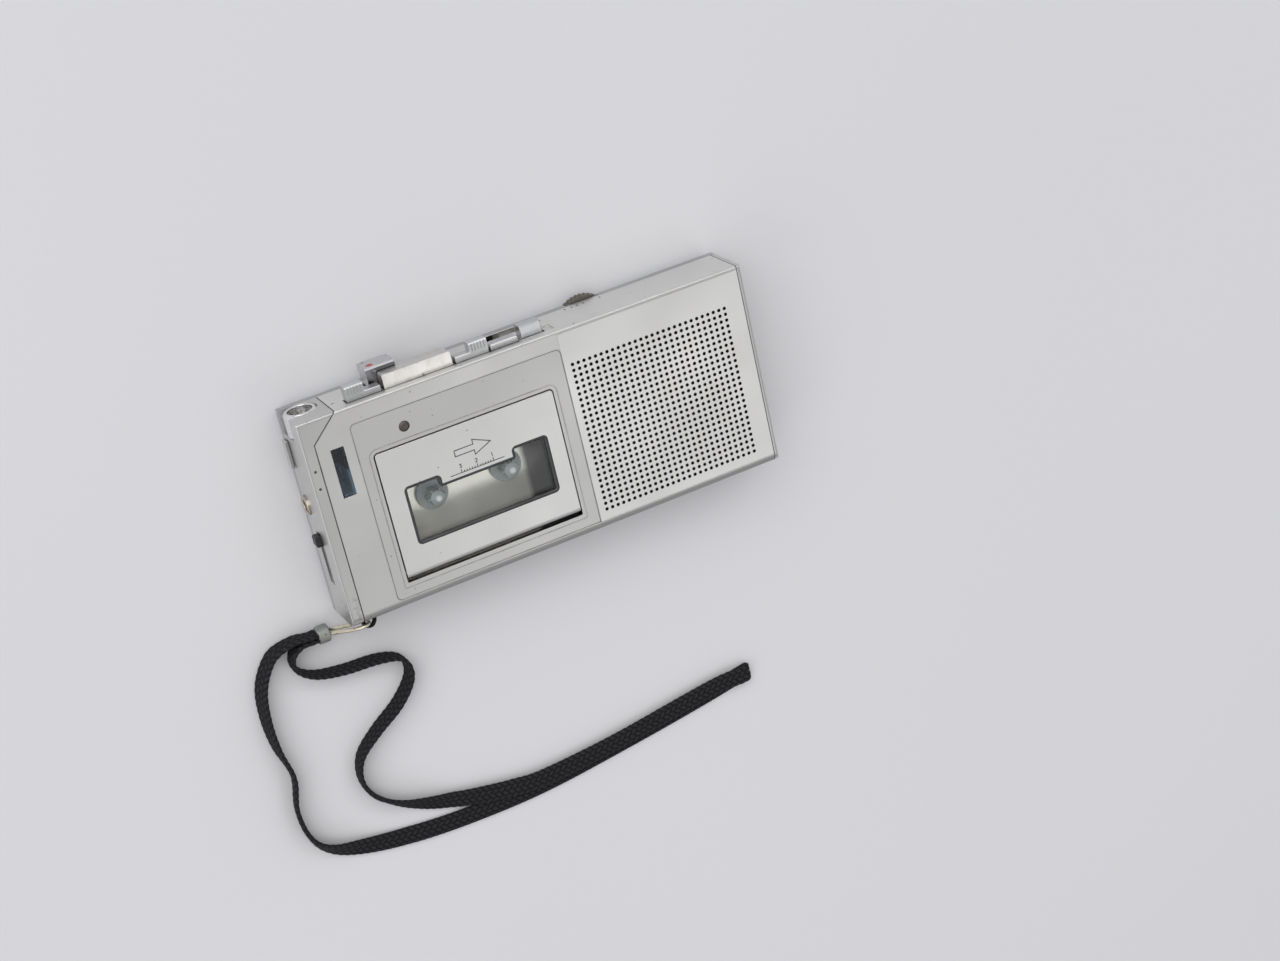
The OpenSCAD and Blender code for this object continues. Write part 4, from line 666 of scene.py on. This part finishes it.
# The route's point at which the strap folds back on itself; a point is a place and a lean in degrees
STRAP_FOLD = 18
STRAP_ROUTE = [
    (-73, -35.3, 3.4, 90), (-75.5, -35.3, 3.4, 90), (-80, -34.9, 3.2, 86), (-86.5, -37, 2.8, 76),
    (-91.5, -44.5, 0, 70), (-93, -54, 0, 72), (-92.5, -64, 0, 80), (-90.4, -74, 0, 95),
    (-92.2, -84, 0, 100), (-91, -93.5, 0, 88), (-86.5, -99.6, 0, 52), (-78, -103.6, 0, 18),
    (-64, -106.8, 0, 0), (-44, -108.8, 0, 0), (-20, -109, 0, 0), (8, -106.4, 0, 0),
    (34, -103.2, 0, 0), (48, -101, 0, 0), (50.5, -100.6, 1.5, 0), (48, -100.6, 2.3, 0),
    (40, -100.6, 2.1, 0), (27, -102, 2.1, 0), (3, -104.9, 2.1, 0), (-20, -106.2, 2.1, 0),
    (-30, -105.2, 2.1, 0), (-40, -103.3, 2, 4), (-48, -101.4, 1.4, 14), (-56, -98.6, 0, 34),
    (-64, -94.6, 0, 62), (-70, -89.4, 0, 84), (-72.4, -82.8, 0, 92), (-70.6, -76, 0, 88),
    (-64.4, -70.4, 0, 80), (-56, -64.6, 0, 76), (-50.8, -58, 0, 80), (-51.6, -52.2, 0, 88),
    (-58, -49.7, 0, 98), (-68.5, -48.8, 0, 98), (-76.6, -47, 0, 93), (-81.2, -43.2, 0, 90),
    (-80.9, -38.9, 3, 90), (-78, -36.8, 3.3, 90), (-75.5, -36.7, 3.4, 90), (-73, -36.7, 3.4, 90),
]
# A heading with less than this level share stands upright, as at the fold
UPRIGHT = 0.6
BRAID_GAP = 0.3
BRAID_HALF = 24
BRAID_COLUMNS = 4
STRAND_L = 2.0
STRAND_SLANT = 0.5
STRAND_ROUND = 0.7
STRAND_LEAST = 0.4
BRAID_DEPTH = 0.24
EDGE_SCALLOP = 1.4
# How far the strands stand out of the solid at the edges and on the flat sides
EDGE_OUT = 0.12
SIDE_OUT = 0.08
FLOOR_CLEAR = 0.02

CLIP_ROUTE = [
    (-69.5, -36, 4.9), (-66, -35.5, 8.4), (-62.6, -34.9, 11.4), (-60.9, -34.5, 12.2), (-59.9, -34.4, 11.6),
    (-59.6, -34.4, 10.3), (-60, -34.4, 8.9), (-61.2, -34.6, 8.2), (-63, -34.9, 7.4), (-66, -35.5, 4.9),
    (-69.5, -36, 2.2),
]
CLIP_R = 0.55
CLIP_GAP = 0.25
CLIP_AROUND = 16

EYE = np.array([-59.3, -28.6, 10.3])
LOOP_R = 1.65
LOOP_REACH = 5.6
LOOP_CORD_R = 0.65
LOOP_GAP = 0.12
LOOP_AROUND = 18
LOOP_STRANDS = 3
LOOP_TWISTS = 9
LOOP_GROOVE = 0.16
LOOP_ARC_POINTS = 25


def strap_course():
    """Centre line of the strap and the way its width points."""
    rows = spline(STRAP_ROUTE, COURSE_STEPS)
    lean = np.radians(rows[:, 3])
    low = STRAP_W / 2 * np.abs(np.sin(lean)) + STRAP_T / 2 * np.abs(np.cos(lean))
    rows[:, 2] = np.maximum(rows[:, 2], low)
    heading = unit(np.gradient(rows[:, :3], axis=0))
    flat = np.stack([-heading[:, 1], heading[:, 0], 0 * lean], axis=1)
    flat[np.arange(len(rows)) > COURSE_STEPS * STRAP_FOLD] *= -1
    flat[np.linalg.norm(heading[:, :2], axis=1) < UPRIGHT] = (0, 1, 0)
    flat = unit(flat)
    across = np.cos(lean)[:, None] * flat + np.sin(lean)[:, None] * np.array([0, 0, 1])
    return np.hstack([rows[:, :3], across])


def mark_crowns(made, height):
    """Notes how far each point stands out of the braid, for the material, which paints shade on the low
    points.
    """
    height = np.asarray(height, float).ravel()
    made.data.attributes.new("crown", "FLOAT", "POINT").data.foreach_set("value", height)


def build_strap():
    """Flat braid: columns of slanted strands that lean to and fro and scallop the edges."""
    rows, at = even(strap_course(), BRAID_GAP)
    centre = rows[:, :3]
    heading = unit(np.gradient(centre, axis=0))
    across = rows[:, 3:]
    across = unit(across - heading * np.sum(across * heading, axis=1, keepdims=True))
    through = np.cross(heading, across)
    around = 2 * BRAID_HALF
    over = np.linspace(1, -1, BRAID_HALF + 1)[:-1]
    wide = np.concatenate([over, np.linspace(-1, 1, BRAID_HALF + 1)[:-1]])
    side = np.where(np.arange(around) < BRAID_HALF, 1, -1)
    thick = side * (1 - np.abs(wide) ** 5) ** 0.5
    points = np.zeros((len(at), around, 3))
    height = np.zeros((len(at), around))
    for k in range(around):
        place = (wide[k] + 1) / 2 * BRAID_COLUMNS
        column = min(int(place), BRAID_COLUMNS - 1)
        within = place - column
        lean = side[k] * (1 if column % 2 else -1)
        slant = at / STRAND_L + STRAND_SLANT * lean * (within - 0.5) + 0.5 * (column % 2)
        crown = max(math.sin(math.pi * within) ** 0.5, abs(wide[k]) ** 8)
        swell = STRAND_LEAST + (1 - STRAND_LEAST) * crown
        height[:, k] = np.abs(np.sin(np.pi * slant)) ** STRAND_ROUND * swell
        lift = BRAID_DEPTH * (height[:, k] - 1.0)
        x = (STRAP_W / 2 + EDGE_OUT + EDGE_SCALLOP * lift * abs(wide[k]) ** 6) * wide[k]
        y = (STRAP_T / 2 + SIDE_OUT + lift) * thick[k]
        points[:, k] = centre + across * x[:, None] + through * y[:, None]
    points[:, :, 2] = np.maximum(points[:, :, 2], FLOOR_CLEAR)
    made = piece("strap_braid", points.reshape(-1, 3), ring_faces(len(at), around, False), strap_black,
                 "case")
    mark_crowns(made, height)
    return made, centre, at[-1]


def build_clip():
    """Hairpin of drawn round wire that turns through the loop."""
    rows = even(spline(CLIP_ROUTE, COURSE_STEPS), CLIP_GAP)[0]
    heading = unit(np.gradient(rows, axis=0))
    side = unit(np.cross(heading, np.array([0, 1, 0])))
    other = np.cross(side, heading)
    points = np.zeros((len(rows), CLIP_AROUND, 3))
    for k in range(CLIP_AROUND):
        a = 2 * math.pi * k / CLIP_AROUND
        points[:, k] = rows + CLIP_R * (math.cos(a) * side + math.sin(a) * other)
    return piece("clip_wire", points.reshape(-1, 3), ring_faces(len(rows), CLIP_AROUND, False), clip_brass,
                 "case")


def build_loop():
    """Closed loop of thin twisted cord."""
    far = EYE - np.array([0, LOOP_REACH, 0])
    turn = np.linspace(0, np.pi, LOOP_ARC_POINTS)
    arc = np.stack([np.cos(turn), np.sin(turn), 0 * turn], axis=1)
    rows = np.concatenate([EYE + LOOP_R * arc, far - LOOP_R * arc, EYE[None] + [[LOOP_R, 0, 0]]])
    rows = even(rows, LOOP_GAP)[0][:-1]
    heading = unit(np.roll(rows, -1, axis=0) - np.roll(rows, 1, axis=0))
    up = np.array([0, 0, 1])
    side = unit(np.cross(heading, up))
    phase = 2 * np.pi * LOOP_TWISTS * np.arange(len(rows)) / len(rows)
    points = np.zeros((len(rows), LOOP_AROUND, 3))
    height = np.zeros((len(rows), LOOP_AROUND))
    for k in range(LOOP_AROUND):
        a = 2 * math.pi * k / LOOP_AROUND
        height[:, k] = 0.5 + 0.5 * np.cos(LOOP_STRANDS * a + phase)
        r = LOOP_CORD_R * (1.0 - LOOP_GROOVE * (1.0 - height[:, k]))
        points[:, k] = rows + r[:, None] * (math.cos(a) * side + math.sin(a) * up)
    made = piece("loop_cord", points.reshape(-1, 3), ring_faces(len(rows), LOOP_AROUND, True), strap_black,
                 "case")
    mark_crowns(made, height)
    return made


strap, strap_line, strap_length = build_strap()
clip = build_clip()
loop = build_loop()
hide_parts("wrist_strap")
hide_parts("strap_clip")
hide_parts("strap_loop")


# Printed marks

PRINT_T = 0.02
MITRE_LEAST = 0.4


def stroke(points, width, closed=False):
    """Outline of a line of even width, as left and right points."""
    p = [Vector(q) for q in points]
    n = len(p)
    sides = []
    for i in range(n):
        before = p[i] - p[i - 1] if closed or i else p[1] - p[0]
        after = p[(i + 1) % n] - p[i] if closed or i < n - 1 else p[i] - p[i - 1]
        a = Vector((-before.y, before.x)).normalized()
        b = Vector((-after.y, after.x)).normalized()
        out = (a + b).normalized()
        out *= width / 2 / max(out.dot(a), MITRE_LEAST)
        sides.append((p[i] + out, p[i] - out))
    return sides


def printed(name, lines, width, lift, body):
    """Flat marks; lift turns a mark's two coordinates and a height into a place."""
    points = []
    faces = []
    for line, closed in lines:
        sides = stroke(line, width, closed)
        first = len(points)
        for left, right in sides:
            points += [lift(left, PRINT_T), lift(right, PRINT_T), lift(right, -PRINT_T), lift(left, -PRINT_T)]
        faces += [tuple(first + k for k in face) for face in ring_faces(len(sides), 4, closed)]
    return piece(name, points, faces, print_grey, body, smooth=False)


def on_front(p, height):
    return (p[0], p[1], FRONT_Z + height)


def on_key_side(p, height):
    return (p[0], KEY_SIDE_Y + height, p[1])


ARROW = [(-26.7, 6.2), (-26.7, 7.9), (-21.1, 7.9), (-21.1, 9.3), (-16.1, 7.1), (-21.1, 4.9), (-21.1, 6.2)]
ARROW_LINE = 0.26
SCALE_LINE = 0.22
SCALE_X = (-29.4, -13.4)
SCALE_Y = 1.3
MAIN_TICKS = (-26.0, -21.3, -16.6)
MAIN_TICK_H = 1.0
SMALL_TICK_H = 0.55
SMALL_TICKS = 6
DIGITS = {
    "1": [(0.15, 0.8), (0.3, 1), (0.3, 0)],
    "2": [(0, 0.8), (0.15, 1), (0.45, 1), (0.6, 0.8), (0.6, 0.6), (0, 0), (0.6, 0)],
    "3": [(0, 1), (0.6, 1), (0.3, 0.6), (0.6, 0.4), (0.6, 0.15), (0.45, 0), (0.15, 0), (0, 0.15)],
}
DIGIT_H = 0.95
DIGIT_Y = 2.75
DIGIT_LEFT = 0.3
SPOT_X = -64.4
SPOT_Y = (16.0, 11.0)
SPOT_R = 0.2
SPOT_LINE = 0.38
SPOT_POINTS = 12
WHEEL_TICK_X = (18.2, 20.3, 22.0, 23.9, 29.0)
WHEEL_TICK_Z = (6.6, 7.6)
WHEEL_TICK_LINE = 0.35


def door_marks():
    """Arrow and tape scale on the door."""
    printed("door_arrow", [(ARROW, True)], ARROW_LINE, on_front, "door")
    lines = [([(x, SCALE_Y) for x in SCALE_X], False)]
    step = (MAIN_TICKS[1] - MAIN_TICKS[0]) / SMALL_TICKS
    for k in range(2 * SMALL_TICKS + 1):
        x = MAIN_TICKS[0] + k * step
        tall = SMALL_TICK_H if k % SMALL_TICKS else MAIN_TICK_H
        lines.append(([(x, SCALE_Y), (x, SCALE_Y + tall)], False))
    for digit, x in zip("321", MAIN_TICKS):
        line = [(x - DIGIT_LEFT + DIGIT_H * q[0], DIGIT_Y + DIGIT_H * q[1]) for q in DIGITS[digit]]
        lines.append((line, False))
    printed("door_scale", lines, SCALE_LINE, on_front, "door")


def spot_line(x, y):
    """Small filled spot, drawn as a thick closed line."""
    turns = np.linspace(0, 2 * math.pi, SPOT_POINTS, endpoint=False)
    return [(x + SPOT_R * math.cos(a), y + SPOT_R * math.sin(a)) for a in turns]


def case_marks():
    """Two spots on the end cap and the marks at the thumbwheel."""
    printed("cap_spots", [(spot_line(SPOT_X, y), True) for y in SPOT_Y], SPOT_LINE, on_front, "case")
    ticks = [([(x, z) for z in WHEEL_TICK_Z], False) for x in WHEEL_TICK_X]
    printed("wheel_marks", ticks, WHEEL_TICK_LINE, on_key_side, "case")


# Seams

THUMB_R = 2.5
KEY_R = 0.8
JOINT_HALF = 0.05
SEAM_LOW_Z = CASE_LOW[2] + 0.15
SEAM_FLAT_Y = -KEY_SIDE_Y + THUMB_R + 0.3
SEAM_FLAT_POINTS = 17
CAP_X = CASE_LOW[0] - JOINT_HALF
CAP_KINK_Y = 23.0
CAP_SLOPE = 7.6 / 7.0
END_SEAM_X = CASE_HIGH[0] + JOINT_HALF
PANEL_R = 1.5
PANEL_Z = PANEL_HIGH[2] + 0.01
DOOR_MARGIN = 1.45
DOOR_FRAME_LOW_Y = -24.6
DOOR_FRAME_RADII = (0.4, 0.4, 2.2, 2.2)
CAP_SEAM_W = 0.34
END_SEAM_W = 0.24
PANEL_SEAM_W = 0.5
DOOR_FRAME_W = 0.3
LINE_ABOVE = 0.012
LINE_BELOW = 0.06
CORNER_LEAST = 0.05
CORNER_POINTS = 7


def over_front():
    """Points and outward directions over the case from the thumb side across the front to the key side."""
    rows = [((-KEY_SIDE_Y, SEAM_LOW_Z), (-1, 0))]
    for a in np.radians(np.arange(180, 89, -10)):
        out = (math.cos(a), math.sin(a))
        rows.append(((-KEY_SIDE_Y + THUMB_R + THUMB_R * out[0], FRONT_Z - THUMB_R + THUMB_R * out[1]), out))
    rows += [((y, FRONT_Z), (0, 1)) for y in np.linspace(SEAM_FLAT_Y, CAP_KINK_Y, SEAM_FLAT_POINTS)]
    for a in np.radians(np.arange(90, -1, -15)):
        out = (math.cos(a), math.sin(a))
        rows.append(((KEY_SIDE_Y - KEY_R + KEY_R * out[0], FRONT_Z - KEY_R + KEY_R * out[1]), out))
    rows.append(((KEY_SIDE_Y, SEAM_LOW_Z), (1, 0)))
    return rows


def surface_line(name, path, ups, width, material, closed=False):
    """Thin line that lies in a surface of the case, with its lower side just under it."""
    path = np.array(path, float)
    ups = unit(np.array(ups, float))
    if closed:
        heading = unit(np.roll(path, -1, axis=0) - np.roll(path, 1, axis=0))
    else:
        heading = unit(np.gradient(path, axis=0))
    across = unit(np.cross(heading, ups)) * width / 2
    above = ups * LINE_ABOVE
    below = ups * -LINE_BELOW
    rings = np.stack([path + across + above, path - across + above, path - across + below,
                      path + across + below], axis=1)
    return piece(name, rings.reshape(-1, 3), ring_faces(len(path), 4, closed), material, "case",
                 smooth=False)


def rounded_path(x, y, radii, z):
    """Closed path round a rectangle; radii go from the low corner round towards +X."""
    corners = [(x[0], y[0], 180), (x[1], y[0], 270), (x[1], y[1], 0), (x[0], y[1], 90)]
    rows = []
    for (cx, cy, start), r in zip(corners, radii):
        r = max(r, CORNER_LEAST)
        mx = cx + r if cx == x[0] else cx - r
        my = cy + r if cy == y[0] else cy - r
        rows += [(mx + r * math.cos(a), my + r * math.sin(a), z)
                 for a in np.radians(np.linspace(start, start + 90, CORNER_POINTS))]
    return rows


def seams():
    """Joint lines of the end pieces, the panel's edge and the frame line round the door."""
    profile = over_front()
    ups = [(0, n[0], n[1]) for q, n in profile]
    cap = [(CAP_X + CAP_SLOPE * max(q[0] - CAP_KINK_Y, 0), q[0], q[1]) for q, n in profile]
    surface_line("cap_seam", cap, ups, CAP_SEAM_W, seam_dark)
    end = [(END_SEAM_X, q[0], q[1]) for q, n in profile]
    surface_line("end_seam", end, ups, END_SEAM_W, seam_dark)
    panel = rounded_path((PANEL_LOW[0], PANEL_HIGH[0]), (PANEL_LOW[1], PANEL_HIGH[1]),
                         (PANEL_R, 0, PANEL_R, PANEL_R), PANEL_Z)
    surface_line("panel_seam", panel, [(0, 0, 1)] * len(panel), PANEL_SEAM_W, seam_soft, True)
    frame_line = rounded_path((DOOR_LOW[0] - DOOR_MARGIN, DOOR_HIGH[0] + DOOR_MARGIN),
                              (DOOR_FRAME_LOW_Y, DOOR_HIGH[1] + DOOR_MARGIN),
                              DOOR_FRAME_RADII, PANEL_Z)
    surface_line("door_frame_line", frame_line, [(0, 0, 1)] * len(frame_line), DOOR_FRAME_W, seam_pale,
                 True)


# Window rim and small trim

WINDOW_LEDGE = 1.1
WINDOW_R = 1.1
WINDOW_NOTCH_R = 0.25
WINDOW_R_LEAST = 0.1
LOBE_W = 2.8
LOBE_L = 10.3
# Rows of inset from the window's outline and height over the front
RIM_PROFILE = ((-0.3, -0.03), (-0.28, 0.015), (0.08, 0.01), (0.5, -0.24), (0.62, -0.4), (0.62, -1.08),
               (0.03, -1.08), (0.03, -0.03))
# Rows of radius and height over the surface
MIC_RIM_PROFILE = ((3.48, -0.5), (3.44, 0.0), (3.55, 0.13), (3.85, 0.19), (4.2, 0.12), (4.34, -0.04),
                   (4.3, -0.5))
MIC_RIM_AROUND = 64
RECORD_SPOT_PROFILE = ((0.02, 0.34), (0.6, 0.31), (1.0, 0.2), (1.2, 0.0), (1.2, -0.1), (0.02, -0.1))
RECORD_SPOT_AROUND = 32
RECORD_SPOT_FROM_LEFT = 2.3
RECORD_SPOT_SUNK = 0.25
RECORD_SPOT_FROM_FRONT = 2.2


def window_path(inset, z):
    """Outline of the window: a rounded rectangle with two lobes towards the keys."""
    x0, y0 = PANE_LOW[:2] + WINDOW_LEDGE
    x1, y1 = PANE_HIGH[:2] - WINDOW_LEDGE
    middle = y1 - LOBE_W
    r, notch = WINDOW_R, WINDOW_NOTCH_R
    shape = [(x0, y0, r), (x1, y0, r), (x1, y1, r), (x1 - LOBE_L, y1, r), (x1 - LOBE_L, middle, notch),
             (x0 + LOBE_L, middle, notch), (x0 + LOBE_L, y1, r), (x0, y1, r)]
    rows = []
    n = len(shape)
    for i, (x, y, r) in enumerate(shape):
        here = Vector((x, y))
        before = (Vector(shape[i - 1][:2]) - here).normalized()
        after = (Vector(shape[(i + 1) % n][:2]) - here).normalized()
        convex = before.x * after.y - before.y * after.x < 0
        r = max(r - inset, WINDOW_R_LEAST) if convex else r + inset
        into = (before + after) * (1 if convex else -1)
        centre = here + into * inset + (before + after) * r
        for k in range(CORNER_POINTS):
            way = (-after).lerp(-before, k / (CORNER_POINTS - 1)).normalized()
            rows.append((centre.x + r * way.x, centre.y + r * way.y, z))
    return rows


def window_rim():
    """Dark sloping edge round the window."""
    rings = np.stack([window_path(inset, FRONT_Z + height) for inset, height in RIM_PROFILE], axis=1)
    piece("window_rim", rings.reshape(-1, 3), ring_faces(rings.shape[0], rings.shape[1], True), rim_dark,
          "door")


def trim():
    """Bright lip of the microphone and the red spot on the record key."""
    mic_x, _, mic_z = (MESH_LOW + MESH_HIGH) / 2
    lathe("mic_rim", MIC_RIM_PROFILE, (mic_x, KEY_SIDE_Y, mic_z), (0, 1, 0), bright_metal, "case",
          MIC_RIM_AROUND)
    spot = (REC_LOW[0] + RECORD_SPOT_FROM_LEFT, REC_HIGH[1] - RECORD_SPOT_SUNK,
            REC_HIGH[2] - RECORD_SPOT_FROM_FRONT)
    lathe("record_spot", RECORD_SPOT_PROFILE, spot, (0, 1, 0), dot_red, "rec",
          RECORD_SPOT_AROUND)


door_marks()
case_marks()
seams()
window_rim()
trim()


# Floor and light, in metres and watts; FLOOR_Z is in millimetres, FLOOR_RELIEF in microns

FLOOR_HALF = 2.5
FLOOR_COUNT = 12
FLOOR_Z = -0.05
FLOOR_CLOUD_SCALE = 3.0
FLOOR_GRAIN_SCALE = 900.0
FLOOR_TONES = ((0.685, 0.685, 0.70), (0.70, 0.70, 0.715))
FLOOR_ROUGH = (0.6, 0.75)
FLOOR_RELIEF = 10
WORLD_COLOUR = (0.97, 0.97, 1.0, 1.0)
WORLD_STRENGTH = 0.52
LAMPS = {
    "key": {"place": (-1.95, 2.48, 3.22), "aim": (0, -0.03, 0), "size": (4.0, 4.0), "power": 110.0},
    "strip": {"place": (0.95, 1.75, 1.95), "aim": (0, 0, 0.02), "size": (2.2, 0.6), "power": 8.0},
    "front": {"place": (0.81, -0.97, 2.16), "aim": (-0.02, 0, 0.02), "size": (0.9, 0.9), "power": 2.6},
    "left": {"place": (-2.4, -0.4, 1.5), "aim": (-0.05, -0.03, 0), "size": (1.6, 1.2), "power": 8.0},
}


def floor_look():
    f = Finish("floor_pale")
    slow = f.noise(FLOOR_CLOUD_SCALE)
    fine = f.noise(FLOOR_GRAIN_SCALE)
    tone = f.mix(f.scaled(slow, *NOISE_RANGE), *FLOOR_TONES)
    rough = f.scaled(fine, *NOISE_RANGE, *FLOOR_ROUGH)
    return f.shade(tone, rough, f.bump(fine, FLOOR_RELIEF * MICRON), **{"Specular IOR Level": 0.2})


def add_floor():
    grid = np.linspace(-FLOOR_HALF, FLOOR_HALF, FLOOR_COUNT) / MM
    points = [(x, y, FLOOR_Z) for y in grid for x in grid]
    corners = [j * FLOOR_COUNT + i for j in range(FLOOR_COUNT - 1) for i in range(FLOOR_COUNT - 1)]
    faces = [(k, k + 1, k + FLOOR_COUNT + 1, k + FLOOR_COUNT) for k in corners]
    mesh = bpy.data.meshes.new("floor")
    mesh.from_pydata([tuple(MM * c for c in p) for p in points], [], faces)
    mesh.materials.append(floor_look())
    floor = bpy.data.objects.new("floor", mesh)
    bpy.context.collection.objects.link(floor)


def add_lamp(name, place, aim, size, power):
    data = bpy.data.lights.new(name, "AREA")
    data.shape = "RECTANGLE"
    data.size, data.size_y = size
    data.energy = power
    lamp = bpy.data.objects.new(name, data)
    bpy.context.collection.objects.link(lamp)
    lamp.location = place
    lamp.rotation_euler = (Vector(aim) - Vector(place)).to_track_quat("-Z", "Y").to_euler()


def add_world():
    world = bpy.data.worlds.new("studio")
    bpy.context.scene.world = world
    world.use_nodes = True
    back = world.node_tree.nodes["Background"]
    back.inputs["Color"].default_value = WORLD_COLOUR
    back.inputs["Strength"].default_value = WORLD_STRENGTH


add_floor()
add_world()
for lamp_name, settings in LAMPS.items():
    add_lamp(lamp_name, **settings)

bpy.context.scene.view_settings.view_transform = "Standard"
